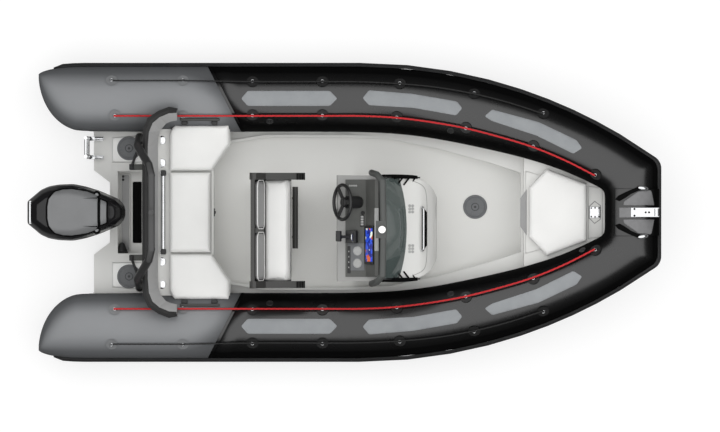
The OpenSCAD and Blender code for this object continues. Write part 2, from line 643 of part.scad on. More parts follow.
// ---------------------------------------------------------------- outboard
module clamp_bracket() color("#6a6c6e") {
    for (s = [-1, 1]) side_plate(s * 130, 26, [[-transom_x - gap, -60], [-transom_x - gap, platform_z + 1],
        [-transom_x - 30, platform_z + 60], [tilt_x - 24, platform_z + 62], [tilt_x - 34, platform_z + 20],
        [-transom_x - 22, -70]]);
    translate([-transom_x - 12, -117, 120]) cube([11.7, 234, 60]);
}
module swivel_bracket() color("#58595b") difference() {
    union() {
        translate([tilt_x, 112, tilt_z]) rotate([90, 0, 0]) cylinder(r = 26, h = 224);
        hull() {
            translate([tilt_x, 100, tilt_z]) rotate([90, 0, 0]) cylinder(r = 24, h = 200);
            translate([steer_x, 0, tilt_z - 20]) cylinder(r = 62, h = 40);
        }
        translate([steer_x, 0, -20]) cylinder(r = 62, h = tilt_z + 30);
    }
    translate([steer_x, 0, -60]) cylinder(r = 40, h = 600);
}
module engine_leg() color("#3a3b3d") union() {
    translate([steer_x, 0, -80]) cylinder(r = 36, h = 420);
    // pan under the cowling
    hull() {
        cowl_layer([330, 0.6, 200, 150]);
        cowl_layer([369.9, 0.7, 156, 100]);
    }
    // driveshaft housing
    hull() {
        translate([-2480, -66, 300]) cube([180, 132, 40]);
        translate([-2440, -44, -200]) cube([180, 88, 30]);
    }
    hull() {
        translate([steer_x, 0, -110]) cylinder(r = 46, h = 40);
        translate([-2420, -44, -110]) cube([120, 88, 40]);
    }
}
shaft_x = -2345;
shaft_z = -510;
// Gearcase torpedo from its nose back: [distance, radius]
torpedo = [[0, 6], [12, 26], [32, 38], [60, 46], [110, 54], [240, 56], [330, 50]];
module torpedo_disc(row) translate([shaft_x + 210 - row[0], 0, shaft_z]) rotate([0, -90, 0])
    cylinder(r = row[1], h = 0.5, $fn = 32);

module gearcase() color("#3a3b3d") union() {
    for (i = [0:len(torpedo) - 2]) hull() {
        torpedo_disc(torpedo[i]);
        torpedo_disc(torpedo[i + 1]);
    }
    hull() {
        translate([-2440, -44, -200.3]) cube([180, 88, 0.1]);
        translate([-2420, -26, -480]) cube([190, 52, 10]);
    }
    // plate over the propeller, and the skeg under it
    translate([-2540, -95, -332]) cube([350, 190, 8]);
    hull() {
        translate([-2390, -5, -550]) cube([190, 10, 5]);
        translate([-2420, -3, -688]) cube([100, 6, 5]);
    }
}

// The cowling's outline in plan, as [distance from its aft end, half width]
// (drawn for a cowling 832 long and 481 wide)
cowl_outline = [[0, 94], [55, 139], [114, 190], [182, 221], [267, 236], [386, 240.5], [488, 221], [607, 185],
    [692, 150], [777, 112], [820, 63], [832, 29]];
cowl_back = -2711;
cowl_k = [cowl_l / 832, cowl_w / 481];

// One level of it: [height, share of the width, taken off aft, taken off forward]
module cowl_layer(row, wall = 0) let (k = (cowl_l - row[2] - row[3]) / cowl_l)
    translate([cowl_back + row[2], 0, row[0] - wall]) linear_extrude(0.1) offset(delta = -wall)
        polygon(both_sides([for (p = cowl_outline) [p[0] * cowl_k[0] * k, p[1] * cowl_k[1] * row[1]]]));

module cowl_shape(rows, wall = 0) for (i = [0:len(rows) - 2]) hull() {
    cowl_layer(rows[i], wall);
    cowl_layer(rows[i + 1], wall);
}

cowl_rows = [[370.3, 0.72, 150, 95], [430, 0.94, 60, 38], [560, 1, 14, 8], [cowl_top - 260, 1, 0, 0],
    [cowl_top - 120, 0.95, 10, 34], [cowl_top - 45, 0.83, 38, 84], [cowl_top, 0.62, 96, 160]];
cowl_wall = 12;

module cowling() color("#151516") difference() {
    cowl_shape(cowl_rows);
    cowl_shape(cowl_rows, cowl_wall);
}

module engine_block() color("#808284")
    translate([cowl_back + 230, -95, 370.2]) cube([cowl_l - 441, 190, cowl_top - 575]);

// Propeller blade sections from the root out: [radius, chord, pitch angle, thickness]
blade_tip = prop_d / 2;
blade = [[40, 84, 58, 12], [62, 108, 47, 9], [90, 126, 38, 7], [blade_tip - 44, 124, 32, 5.5],
    [blade_tip - 20, 98, 28, 4.5], [blade_tip - 6, 58, 26, 3.5], [blade_tip, 20, 25, 2.5]];
hub_l = 95;
function blade_ring(s) = [for (j = [0:11]) let (u = s[1] / 2 * cos(30 * j), v = s[3] / 2 * sin(30 * j))
    [s[0], u * cos(s[2]) - v * sin(s[2]), hub_l / 2 + u * sin(s[2]) + v * cos(s[2])]];

module propeller() color("#2f3032") translate([shaft_x - 121, 0, shaft_z]) rotate([0, -90, 0]) union() {
    cylinder(r = 46, h = hub_l);
    for (a = [0, 120, 240]) rotate(a) loft([for (s = blade) blade_ring(s)]);
}

hull_shell();
deck();
tube_stern_port();
tube_stern_starboard();
tube_port();
tube_starboard();
tube_bow();
rub_rail();
bow_step();
bow_roller();
tow_eyes();
bow_eye();
deck_hatches();
bow_locker();
bow_locker_lid();
bow_cushion();
anchor_lid();
anchor_lid_plate();
console_body();
console_dash();
windscreen();
windscreen_fins();
console_rail();
nav_light();
chartplotter();
throttle();
helm_hub();
helm_wheel();
helm_seat_base();
helm_seat_cushion();
helm_seat_frame();
helm_seat_pads();
helm_footrest();
bench_base();
bench_lid();
bench_cushion();
bench_corner_cushions();
bench_backrest();
bench_tube();
ski_mast();
ladder_brackets();
ladder();
clamp_bracket();
swivel_bracket();
engine_leg();
gearcase();
cowling();
engine_block();
propeller();
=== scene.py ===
"""Looks of a rigid inflatable boat: hull, deck, tubes, seats, console and outboard, put together in that order."""

import math

import bmesh
import bpy
from mathutils import Matrix, Vector
from mathutils.bvhtree import BVHTree


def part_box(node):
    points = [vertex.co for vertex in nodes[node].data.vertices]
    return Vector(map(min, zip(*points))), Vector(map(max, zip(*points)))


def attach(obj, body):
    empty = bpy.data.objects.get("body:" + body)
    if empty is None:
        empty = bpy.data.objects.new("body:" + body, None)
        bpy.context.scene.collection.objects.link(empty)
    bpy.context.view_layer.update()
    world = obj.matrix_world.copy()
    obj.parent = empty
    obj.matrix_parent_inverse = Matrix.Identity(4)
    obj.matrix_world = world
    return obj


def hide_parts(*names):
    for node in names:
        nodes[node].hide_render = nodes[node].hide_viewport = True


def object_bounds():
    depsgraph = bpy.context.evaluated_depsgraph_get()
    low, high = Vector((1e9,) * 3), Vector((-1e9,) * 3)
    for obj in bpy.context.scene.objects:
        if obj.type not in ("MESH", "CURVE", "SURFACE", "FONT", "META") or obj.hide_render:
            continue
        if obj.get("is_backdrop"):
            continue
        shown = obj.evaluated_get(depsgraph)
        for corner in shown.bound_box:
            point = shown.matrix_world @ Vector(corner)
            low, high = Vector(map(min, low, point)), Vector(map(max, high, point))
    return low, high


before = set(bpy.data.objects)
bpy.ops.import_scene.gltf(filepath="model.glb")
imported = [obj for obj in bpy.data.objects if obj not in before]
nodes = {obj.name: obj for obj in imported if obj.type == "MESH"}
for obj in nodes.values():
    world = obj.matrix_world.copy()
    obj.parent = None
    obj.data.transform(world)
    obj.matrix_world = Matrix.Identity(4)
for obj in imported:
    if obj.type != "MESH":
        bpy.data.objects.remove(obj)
cad_low, cad_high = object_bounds()

# ------------------------------------------------------------------ camera and studio
# A long lens straight above the boat, bow to the right. One wide soft box hangs
# over it, and the floor lies at the waterline, so only what floats above it shows.
VIEW_WIDTH = 6.12
LENS = 400.0
SENSOR = 36.0
MID_HEIGHT = 0.45
CAMERA_REACH = 400.0
BOX_HEIGHT, BOX_SIZE, BOX_RADIANCE = 4.2, (15.0, 9.6), 1.44
camera_data = bpy.data.cameras.new("studio_camera")
camera_data.lens = LENS
camera_data.sensor_width = SENSOR
camera_data.clip_end = CAMERA_REACH
camera = bpy.data.objects.new("studio_camera", camera_data)
camera.location = (0.106, -0.031, MID_HEIGHT + VIEW_WIDTH / SENSOR * LENS)
bpy.context.scene.collection.objects.link(camera)
bpy.context.scene.camera = camera


def soft_box(name, place, size, radiance):
    """A rectangular lamp that gives the same brightness however large it is."""
    lamp = bpy.data.lights.new(name, "AREA")
    lamp.shape = "RECTANGLE"
    lamp.size, lamp.size_y = size
    lamp.energy = radiance * math.pi * size[0] * size[1]
    lamp_object = bpy.data.objects.new(name, lamp)
    lamp_object.location = place
    lamp_object.visible_camera = False
    bpy.context.scene.collection.objects.link(lamp_object)


soft_box("soft_box_overhead", (0, 0, BOX_HEIGHT), BOX_SIZE, BOX_RADIANCE)


class Value:
    """One output of a shader node, with plain arithmetic on it."""

    def __init__(self, tree, socket):
        self.tree = tree
        self.socket = socket

    def worked(self, operation, other=0.0, swapped=False):
        node = self.tree.nodes.new("ShaderNodeMath")
        node.operation = operation
        pair = (other, self) if swapped else (self, other)
        for place, part in zip(node.inputs, pair):
            if isinstance(part, Value):
                self.tree.links.new(part.socket, place)
            else:
                place.default_value = part
        return Value(self.tree, node.outputs[0])

    def __add__(self, other): return self.worked("ADD", other)
    def __radd__(self, other): return self.worked("ADD", other, True)
    def __sub__(self, other): return self.worked("SUBTRACT", other)
    def __rsub__(self, other): return self.worked("SUBTRACT", other, True)
    def __mul__(self, other): return self.worked("MULTIPLY", other)
    def __rmul__(self, other): return self.worked("MULTIPLY", other, True)
    def __gt__(self, other): return self.worked("GREATER_THAN", other)


class Finish:
    """A procedural material. Keyword values go on the surface shader's own sockets."""

    def __init__(self, name, material=None, **surface):
        self.material = material or bpy.data.materials.new(name)
        self.material.use_nodes = True
        self.tree = self.material.node_tree
        self.surface = self.tree.nodes.get("Principled BSDF")
        for socket, value in surface.items():
            self.surface.inputs[socket.replace("_", " ")].default_value = value

    def node(self, kind, settings=None, take=0, **inputs):
        made = self.tree.nodes.new("ShaderNode" + kind)
        for key, value in (settings or {}).items():
            if key == "stops":
                ramp = made.color_ramp
                while len(ramp.elements) < len(value):
                    ramp.elements.new(0.5)
                for element, (where, colour) in zip(ramp.elements, value):
                    element.position = where
                    element.color = (*colour, 1) if isinstance(colour, tuple) else (colour, colour, colour, 1)
            else:
                setattr(made, key, value)
        for key, value in inputs.items():
            numbered = key[0] == "i" and key[1:].isdigit()
            place = made.inputs[int(key[1:]) if numbered else key.replace("_", " ")]
            if isinstance(value, Value):
                self.tree.links.new(value.socket, place)
            else:
                place.default_value = value
        return Value(self.tree, made.outputs[take])

    def place(self, stretch=(1, 1, 1), turn=(0, 0, 0), middle=(0, 0, 0), source="Object"):
        """Coordinates on the object in metres, stretched and turned for a pattern."""
        here = self.tree.nodes.new("ShaderNodeTexCoord").outputs[source]
        return self.node("Mapping", Vector=Value(self.tree, here), Scale=stretch, Rotation=turn, Location=middle)

    def facing(self, axis):
        """How much the surface faces up (2), forward (0) or to port (1), from the geometry's normal."""
        normal = self.tree.nodes.new("ShaderNodeNewGeometry").outputs["Normal"]
        return self.node("SeparateXYZ", take=axis, Vector=Value(self.tree, normal))

    def noise(self, scale, detail=2.0, roughness=0.5, at=None):
        return self.node("TexNoise", Vector=at or self.place(), Scale=scale, Detail=detail, Roughness=roughness)

    def between(self, amount, low, high):
        """A number that runs from low to high as amount runs from 0 to 1."""
        return self.node("MapRange", Value=amount, i1=0.0, i2=1.0, i3=low, i4=high)

    def mix(self, amount, first, second):
        """A colour between two colours."""
        first = (*first, 1) if isinstance(first, tuple) and len(first) == 3 else first
        second = (*second, 1) if isinstance(second, tuple) and len(second) == 3 else second
        return self.node("Mix", {"data_type": "RGBA"}, take=2, i0=amount, i6=first, i7=second)

    def feed(self, socket, value):
        self.tree.links.new(value.socket, self.surface.inputs[socket])
        return self

    def bump(self, height, depth, strength=1.0, over=None):
        """Relief of a given depth in metres, on top of another relief if one is given."""
        extra = {"Normal": over} if over else {}
        return self.node("Bump", Height=height, Distance=depth, Strength=strength, **extra)

    def mottled(self, dark, pale, patches, gloss, haze=None):
        """Colour that drifts between two shades, and a gloss that drifts with it or in a pattern of its own."""
        drift = self.noise(*patches)
        self.feed("Base Color", self.mix(drift, dark, pale))
        self.feed("Roughness", self.between(self.noise(*haze) if haze else drift, *gloss))
        return drift

    def grained(self, scale, depth, strength, detail=2.0):
        """A fine relief all over."""
        return self.feed("Normal", self.bump(self.noise(scale, detail), depth, strength))

    def bands(self, axis, scale, turn=(0, 0, 0)):
        """Parallel ridges across an axis."""
        return self.node("TexWave", {"wave_type": "BANDS", "bands_direction": axis}, 1,
                         Vector=self.place(turn=turn), Scale=scale)

    def show(self, surface):
        """Puts another shader in the place of the surface shader."""
        self.tree.links.new(surface.socket, self.tree.nodes["Material Output"].inputs["Surface"])


def grey(shade):
    """The linear value of a grey written as in a paint chart, 0 to 255."""
    part = shade / 255
    return part / 12.92 if part <= 0.04045 else ((part + 0.055) / 1.055) ** 2.4


def tint(red, green, blue):
    return (grey(red), grey(green), grey(blue))


def neutral(shade):
    return (shade, shade, shade)


# The floor is plain white to the camera but keeps the boat's soft shadow
FLOOR_REACH = 60.0
FLOOR_SEEN, FLOOR_GLOW, FLOOR_BOUNCE = 0.36, 0.70, 0.30
floor_mesh = bpy.data.meshes.new("studio_floor")
floor_shape = bmesh.new()
bmesh.ops.create_grid(floor_shape, x_segments=1, y_segments=1, size=FLOOR_REACH)
floor_shape.to_mesh(floor_mesh)
floor_shape.free()
floor = bpy.data.objects.new("studio_floor", floor_mesh)
bpy.context.scene.collection.objects.link(floor)
floor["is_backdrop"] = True
floor_finish = Finish("studio_floor")
seen = floor_finish.tree.nodes.new("ShaderNodeLightPath").outputs["Is Camera Ray"]
pale = floor_finish.node("BsdfDiffuse", Color=(*neutral(FLOOR_SEEN), 1))
glow = floor_finish.node("Emission", Color=(1, 1, 1, 1), Strength=FLOOR_GLOW)
plain = floor_finish.node("BsdfDiffuse", Color=(*neutral(FLOOR_BOUNCE), 1))
lit = floor_finish.node("AddShader", i0=pale, i1=glow)
floor_finish.show(floor_finish.node("MixShader", i0=Value(floor_finish.tree, seen), i1=plain, i2=lit))
floor_finish.tree.nodes.remove(floor_finish.surface)
floor_mesh.materials.append(floor_finish.material)

world = bpy.data.worlds.new("studio")
world.use_nodes = True
bpy.context.scene.world = world
sky = world.node_tree
rays = sky.nodes.new("ShaderNodeLightPath")
dim, white = sky.nodes["Background"], sky.nodes.new("ShaderNodeBackground")
for background, strength in ((dim, 0.07), (white, 1.0)):
    background.inputs["Color"].default_value = (1, 1, 1, 1)
    background.inputs["Strength"].default_value = strength
choose = sky.nodes.new("ShaderNodeMixShader")
sky.links.new(rays.outputs["Is Camera Ray"], choose.inputs[0])
sky.links.new(dim.outputs[0], choose.inputs[1])
sky.links.new(white.outputs[0], choose.inputs[2])
sky.links.new(choose.outputs[0], sky.nodes["World Output"].inputs["Surface"])
bpy.context.scene.view_settings.view_transform = "Standard"

# ------------------------------------------------------------------ side tubes
# The real tubes are airtight sleeves of coated fabric: grey stern cones, black
# sides and a short cross tube at the bow, glued along taped seams and blown hard.
SIDES = ((1, "port"), (-1, "starboard"))


def merged_copy(node):
    """The CAD shape as one joined skin, in a bmesh of its own."""
    shape = bmesh.new()
    shape.from_mesh(nodes[node].data)
    bmesh.ops.remove_doubles(shape, verts=shape.verts, dist=2e-5)
    return shape


def make_piece(shape, name, finish, body="boat", smooth=35, stands_for=(), outward=False):
    """Turns a bmesh into a finished piece that rides on a body."""
    if outward:
        bmesh.ops.recalc_face_normals(shape, faces=shape.faces)
    mesh = bpy.data.meshes.new(name)
    shape.to_mesh(mesh)
    shape.free()
    mesh.polygons.foreach_set("use_smooth", [True] * len(mesh.polygons))
    mesh.set_sharp_from_angle(angle=math.radians(smooth))
    for one in finish if isinstance(finish, list) else [finish]:
        mesh.materials.append(one.material)
    piece = bpy.data.objects.new(name, mesh)
    bpy.context.scene.collection.objects.link(piece)
    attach(piece, body)
    if stands_for:
        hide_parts(*([stands_for] if isinstance(stands_for, str) else stands_for))
    return piece


def join_into(target, extra):
    """Adds one bmesh to another."""
    spare = bpy.data.meshes.new("spare")
    extra.to_mesh(spare)
    extra.free()
    target.from_mesh(spare)
    bpy.data.meshes.remove(spare)


def rounded(piece, levels=2):
    """Adds a subdivision surface."""
    layer = piece.modifiers.new("rounding", "SUBSURF")
    layer.levels = layer.render_levels = levels
    return piece


def coated_fabric(name, shade, painted_light_tone, gloss, specular):
    """Coated boat fabric: a faint grain and an uneven sheen on top; down the flanks it is matt and takes a darker
    colour, which is painted shade.
    """
    cloth = Finish(name, Specular_IOR_Level=specular)
    broad = cloth.noise(2.2, 4.0)
    fine = cloth.noise(340.0, 2.0)
    darker = tuple(part * 0.90 for part in shade)
    paler = tuple(min(1, part * 1.10 + 0.0015) for part in shade)
    cloth.feed("Base Color", cloth.mix(broad * 0.7 + fine * 0.3, darker, paler))
    cloth.feed("Roughness", cloth.between(broad, gloss - 0.03, gloss + 0.04))
    weave = cloth.bands("X", 110.0) * 0.5 + cloth.bands("Y", 110.0) * 0.5
    grain = cloth.bump(weave + cloth.noise(260.0, 2.0) * 0.5, 0.00006, 0.3)
    cloth.feed("Normal", cloth.bump(cloth.noise(3.0, 1.0), 0.004, 0.12, grain))
    matt_painted_shade = cloth.node("BsdfPrincipled", Base_Color=cloth.mix(broad, tuple(part * 0.8 for part in painted_light_tone), painted_light_tone),
                      Roughness=0.85, Specular_IOR_Level=0.04)
    # The darker colour goes where the skin turns away from the top: painted shade, set by how much the surface
    # faces up
    fabric_painted_light_mask = cloth.node("MapRange", {"interpolation_type": "SMOOTHSTEP"}, Value=cloth.facing(2), i1=0.58, i2=0.92)
    cloth.show(cloth.node("MixShader", i0=fabric_painted_light_mask, i1=matt_painted_shade, i2=Value(cloth.tree, cloth.surface.outputs[0])))
    return cloth


# Each fabric: its colour on top, the darker painted shade of its flanks, gloss and specular
black_fabric = coated_fabric("black_tube_fabric", (0.0045, 0.0045, 0.0047), (0.0022, 0.0022, 0.0023), 0.27, 0.82)
grey_fabric = coated_fabric("grey_tube_fabric", (0.225, 0.232, 0.240), (0.145, 0.150, 0.156), 0.36, 0.42)

tube_pieces = {}
bow_low, bow_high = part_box("tube_bow")
bow_corner = Vector((bow_high.x - (bow_high.z - bow_low.z) / 2, 0.303, 0))
corner_out = Vector((0.885, 0.465, 0)).normalized()


def bow_mitre(side):
    """A point on the mitre between a side tube and the bow tube, and the way square to it."""
    return Vector((bow_corner.x, bow_corner.y * side, 0)), Vector((-corner_out.y, corner_out.x * side, 0))


def slice_at(shape, at, square_to, geom=None, **clear):
    """Cuts a shape along a plane, all of it unless told otherwise."""
    geom = geom or shape.verts[:] + shape.edges[:] + shape.faces[:]
    bmesh.ops.bisect_plane(shape, geom=geom, plane_co=at, plane_no=square_to, **clear)


def creased(shape, angle):
    """Marks the edges that a subdivision surface keeps sharp."""
    crease = shape.edges.layers.float.new("crease_edge")
    for edge in shape.edges:
        if len(edge.link_faces) == 2 and edge.calc_face_angle(0) > angle:
            edge[crease] = 1.0
    return shape


def tube_skin(*tubes):
    """The sleeves as one skin of four-sided faces; where the side and bow sleeves meet, the seam is a soft bend."""
    skin = bmesh.new()
    for node in tubes:
        join_into(skin, merged_copy(node))
    for side, _ in SIDES:
        corner, seam = bow_mitre(side)
        inside = [f for f in skin.faces if abs(f.normal.dot(seam)) > 0.99
                  and abs((f.calc_center_median() - corner).dot(seam)) < 0.01]
        bmesh.ops.delete(skin, geom=inside, context="FACES")
    bmesh.ops.remove_doubles(skin, verts=skin.verts, dist=0.0008)
    bmesh.ops.join_triangles(skin, faces=skin.faces, angle_face_threshold=math.radians(50),
                             angle_shape_threshold=math.radians(50))
    if "tube_bow" in tubes:
        for side, _ in SIDES:
            corner, seam = bow_mitre(side)
            for step in (-0.070, 0.070):
                near = [f for f in skin.faces
                        if f.calc_center_median().x > 1.95 and f.calc_center_median().y * side > -0.10]
                parts = list({v for f in near for v in f.verts}) + list({e for f in near for e in f.edges}) + near
                slice_at(skin, corner + seam * step, seam, parts)
    return creased(skin, math.radians(60))


for piece_name, tubes in (("stern_tube_port", ["tube_stern_port"]),
                          ("stern_tube_starboard", ["tube_stern_starboard"]),
                          ("black_tubes", ["tube_port", "tube_bow", "tube_starboard"])):
    finish, slot = (grey_fabric, "tube_grey") if "stern" in piece_name else (black_fabric, "tube_black")
    sleeve = make_piece(tube_skin(*tubes), piece_name + "_skin", finish, stands_for=tubes, smooth=70)
    tube_pieces[piece_name] = rounded(sleeve)

# ------------------------------------------------------------------ patches on the tubes
# Every patch is cut from the same coated fabric or moulded rubber and glued to the
# blown tube, so its outline is drawn flat and then laid on the skin.
tree_of = {}


def skin_under(x, y):
    """Where a plumb line at x, y meets the tubes, and which way the skin faces there."""
    if not tree_of:
        graph = bpy.context.evaluated_depsgraph_get()
        for node, piece in tube_pieces.items():
            tree_of[node] = BVHTree.FromObject(piece, graph)
    hits = [tree.ray_cast(Vector((x, y, 3.0)), Vector((0, 0, -1))) for tree in tree_of.values()]
    hits = [hit for hit in hits if hit[0] is not None]
    place, facing, _, _ = max(hits, key=lambda hit: hit[0].z)
    return place, facing


def nearest_skin(point):
    found = [tree.find_nearest(point) for tree in tree_of.values()]
    place, facing, _, _ = min(found, key=lambda hit: (hit[0] - point).length)
    return place, facing


def lay_flat_piece(shape, x, y, along=(1, 0)):
    """Lays a piece drawn round the origin on the skin at x, y: its x runs along, its z stands off the skin."""
    middle, up = skin_under(x, y)
    forward = Vector((along[0], along[1], 0))
    forward = (forward - up * forward.dot(up)).normalized()
    side = up.cross(forward)
    for vert in shape.verts:
        height = vert.co.z
        place, facing = nearest_skin(middle + forward * vert.co.x + side * vert.co.y)
        vert.co = place + facing * height


def drop_on_skin(shape):
    """Drops a piece drawn in plan on to the skin below it."""
    for vert in shape.verts:
        place, facing = skin_under(vert.co.x, vert.co.y)
        vert.co = place + facing * vert.co.z


def cut_across(shape, step, reach):
    """Cuts a flat shape into a grid, so that it can bend."""
    for axis in (Vector((1, 0, 0)), Vector((0, 1, 0))):
        for k in range(-int(reach / step), int(reach / step) + 1):
            slice_at(shape, axis * k * step, axis)


def plan_of(points):
    """A flat face through points in plan, at height 0."""
    shape = bmesh.new()
    shape.faces.new([shape.verts.new((x, y, 0)) for x, y in points])
    bmesh.ops.recalc_face_normals(shape, faces=shape.faces)
    if shape.faces[:][0].normal.z < 0:
        bmesh.ops.reverse_faces(shape, faces=shape.faces)
    return shape


def round_outline(shape, radius, segments=3):
    """Rounds the corners of a flat piece."""
    bmesh.ops.bevel(shape, geom=shape.verts[:], offset=radius, segments=segments, profile=0.5, affect="VERTICES",
                    material=-1)


def stepped(shape, margin, height):
    """Raises the middle of a flat piece and leaves a sloped margin round it."""
    shape.normal_update()
    face = max(shape.faces, key=lambda f: f.calc_area())
    bmesh.ops.inset_region(shape, faces=[face], thickness=margin, use_even_offset=True, use_boundary=True)
    for vert in face.verts:
        vert.co.z += height
    return face


def curve_through(points, step=0.04):
    """Evenly spaced points on a smooth line through the given ones."""
    spline = []
    for i in range(len(points) - 1):
        before, start = Vector(points[max(i - 1, 0)]), Vector(points[i])
        end, after = Vector(points[i + 1]), Vector(points[min(i + 2, len(points) - 1)])
        count = max(1, round((end - start).length / step))
        for k in range(count):
            t = k / count
            spline.append(0.5 * (2 * start + (end - before) * t + (2 * before - 5 * start + 4 * end - after) * t * t
                                 + (3 * start - before - 3 * end + after) * t ** 3))
    return spline + [Vector(points[-1])]


# Wear patches: pale grey, with a moulded diamond pattern, three on each side tube
wear = Finish("wear_patch", Specular_IOR_Level=0.35)
wear.mottled(tint(132, 135, 138), tint(150, 153, 155), (9.0, 5.0), (0.52, 0.66))
diamonds = wear.bands("X", 55.0, (0, 0, 0.7)) * wear.bands("X", 55.0, (0, 0, -0.7))
wear.feed("Normal", wear.bump(diamonds, 0.0006, 0.6))

WEAR_PATCHES = [
    [(-0.903, 0.965), (-0.847, 1.031), (-0.149, 1.031), (-0.086, 0.965), (-0.149, 0.903), (-0.847, 0.903)],
    [(0.128, 0.969), (0.182, 1.036), (0.55, 1.005), (0.928, 0.940), (0.972, 0.882), (0.921, 0.821), (0.56, 0.886),
     (0.182, 0.909)],
    [(1.161, 0.814), (1.225, 0.871), (1.62, 0.764), (1.938, 0.611), (1.985, 0.543), (1.911, 0.496), (1.60, 0.650),
     (1.225, 0.773)]]
for side, side_name in SIDES:
    patches = bmesh.new()
    for outline in WEAR_PATCHES:
        patch = plan_of([(x, y * side) for x, y in outline])
        round_outline(patch, 0.014)
        stepped(patch, 0.004, 0.0022)
        cut_across(patch, 0.03, 2.4)
        join_into(patches, patch)
    drop_on_skin(patches)
    make_piece(patches, "wear_patches_" + side_name, wear, smooth=60)

# Lifeline eyelets: a round rubber patch with a moulded boss and a steel ring
rubber = Finish("patch_rubber", Specular_IOR_Level=0.5)
rubber.mottled(neutral(0.006), neutral(0.016), (40.0, 4.0), (0.34, 0.50), (90.0, 2.0))
rubber.grained(420.0, 0.0003, 0.4)

steel = Finish("polished_steel", Metallic=1.0)
steel.feed("Base Color", steel.mix(steel.noise(25.0, 3.0), (0.62, 0.63, 0.64), (0.78, 0.79, 0.80)))
brushed = steel.noise(240.0, 2.0, at=steel.place(stretch=(0.06, 1, 1)))
steel.feed("Roughness", steel.between(brushed, 0.12, 0.27))
steel.feed("Normal", steel.bump(brushed, 0.00006, 0.5))

rubber_grey = Finish("patch_rubber_grey", Specular_IOR_Level=0.4)
rubber_grey.mottled((0.17, 0.175, 0.18), (0.225, 0.23, 0.235), (30.0, 4.0), (0.42, 0.55), (90.0, 2.0))

INNER_EYES = [(-1.976, 0.827), (-1.398, 0.819), (-0.807, 0.828), (-0.213, 0.828), (0.419, 0.812),
              (1.005, 0.719), (1.576, 0.564), (2.102, 0.322)]
OUTER_EYES = [(-2.002, 1.117), (-1.398, 1.117), (-0.807, 1.108), (-0.213, 1.108), (0.444, 1.090),
              (1.074, 1.004), (1.657, 0.835)]
GREY_END = -1.10


PATCH_RADIUS, PATCH_SIDES = 0.050, 32


def eyelet_patch():
    """Disc, raised ring of the disc, and the boss that holds the steel ring."""
    disc = bmesh.new()
    bmesh.ops.create_circle(disc, cap_ends=True, segments=PATCH_SIDES, radius=PATCH_RADIUS)
    for thickness, depth in ((0.003, 0.003), (0.016, 0.0), (0.003, 0.002), (0.008, 0.0), (0.003, 0.0045)):
        middle = [f for f in disc.faces if len(f.verts) == PATCH_SIDES]
        bmesh.ops.inset_region(disc, faces=middle, thickness=thickness, depth=depth)
    return disc


def hoop(radius, wire, height, sides, steps):
    """A ring of round wire lying flat round the origin."""
    made = bmesh.new()
    bmesh.ops.create_circle(made, segments=sides, radius=wire, matrix=Matrix.Translation((radius, 0, height))
                            @ Matrix.Rotation(math.radians(90), 4, "X"))
    bmesh.ops.spin(made, geom=made.edges[:], axis=(0, 0, 1), cent=(0, 0, height), steps=steps, angle=math.tau,
                   use_merge=True)
    return made


for side, side_name in SIDES:
    black_patches, grey_patches, rings = bmesh.new(), bmesh.new(), bmesh.new()
    for x, y in INNER_EYES + OUTER_EYES:
        disc, ring = eyelet_patch(), hoop(0.0125, 0.0030, 0.0135, 10, 20)
        bmesh.ops.recalc_face_normals(ring, faces=ring.faces)
        lay_flat_piece(disc, x, y * side)
        lay_flat_piece(ring, x, y * side)
        join_into(grey_patches if x < GREY_END else black_patches, disc)
        join_into(rings, ring)
    make_piece(black_patches, "eyelet_patches_black_" + side_name, rubber)
    make_piece(grey_patches, "eyelet_patches_grey_" + side_name, rubber_grey)
    make_piece(rings, "eyelet_rings_" + side_name, steel, smooth=60)

# Lifelines: a red rope inside and a black rope outside, drawn tight from eyelet to eyelet
ROPE_STEP, ROPE_TWIST, ROPE_STANDOFF = 0.02, 0.5 / 0.011, 0.013


def turned_to(place, x_axis, y_axis, z_axis):
    """Carries a shape drawn round the origin to a place, its axes along three others."""
    return Matrix.Translation(place) @ Matrix((x_axis, y_axis, z_axis)).transposed().to_4x4()


def tube_through(shape, places, sides, radius, closed=False, capped=False):
    """Joins a row of circles, each placed and turned by a matrix, into one tube."""
    first = last = None
    for place in places:
        ring = bmesh.ops.create_circle(shape, segments=sides, radius=radius, matrix=place)["verts"]
        edges = list(dict.fromkeys(e for v in ring for e in v.link_edges))
        if last:
            bmesh.ops.bridge_loops(shape, edges=last + edges)
        else:
            first = edges
            if capped:
                bmesh.ops.holes_fill(shape, edges=edges)
        last = edges
    if closed:
        bmesh.ops.bridge_loops(shape, edges=last + first)
    if capped:
        bmesh.ops.holes_fill(shape, edges=[e for e in last if len(e.link_faces) < 2])


def rope_piece(name, points, radius, finish):
    """Three laid strands round a line of points on the skin."""
    line = []
    for x, y in points:
        place, facing = skin_under(x, y)
        line.append(place + facing * (radius + ROPE_STANDOFF))
    centre = curve_through(line, ROPE_STEP)
    rope = bmesh.new()
    for strand in range(3):
        places = []
        for k, point in enumerate(centre):
            ahead = (centre[min(k + 1, len(centre) - 1)] - centre[max(k - 1, 0)]).normalized()
            across = ahead.cross(Vector((0, 0, 1))).normalized()
            turn = strand * math.tau / 3 + k * ROPE_STEP * ROPE_TWIST
            off = (across * math.cos(turn) + across.cross(ahead) * math.sin(turn)) * radius * 0.45
            places.append(turned_to(point + off, across, across.cross(ahead), ahead))
        tube_through(rope, places, 6, radius * 0.62, capped=True)
    return make_piece(rope, name, finish, smooth=80, outward=True)


def rope_fibre(name, dark, pale):
    """Twisted polyester, a little paler where the strands stand out."""
    fibre = Finish(name, Specular_IOR_Level=0.3)
    lay = fibre.bands("DIAGONAL", 180.0)
    fibre.feed("Base Color", fibre.mix(lay * 0.6 + fibre.noise(80.0) * 0.4, dark, pale))
    fibre.feed("Roughness", fibre.between(fibre.noise(200.0), 0.55, 0.8))
    fibre.feed("Normal", fibre.bump(lay, 0.0004, 0.5))
    return fibre


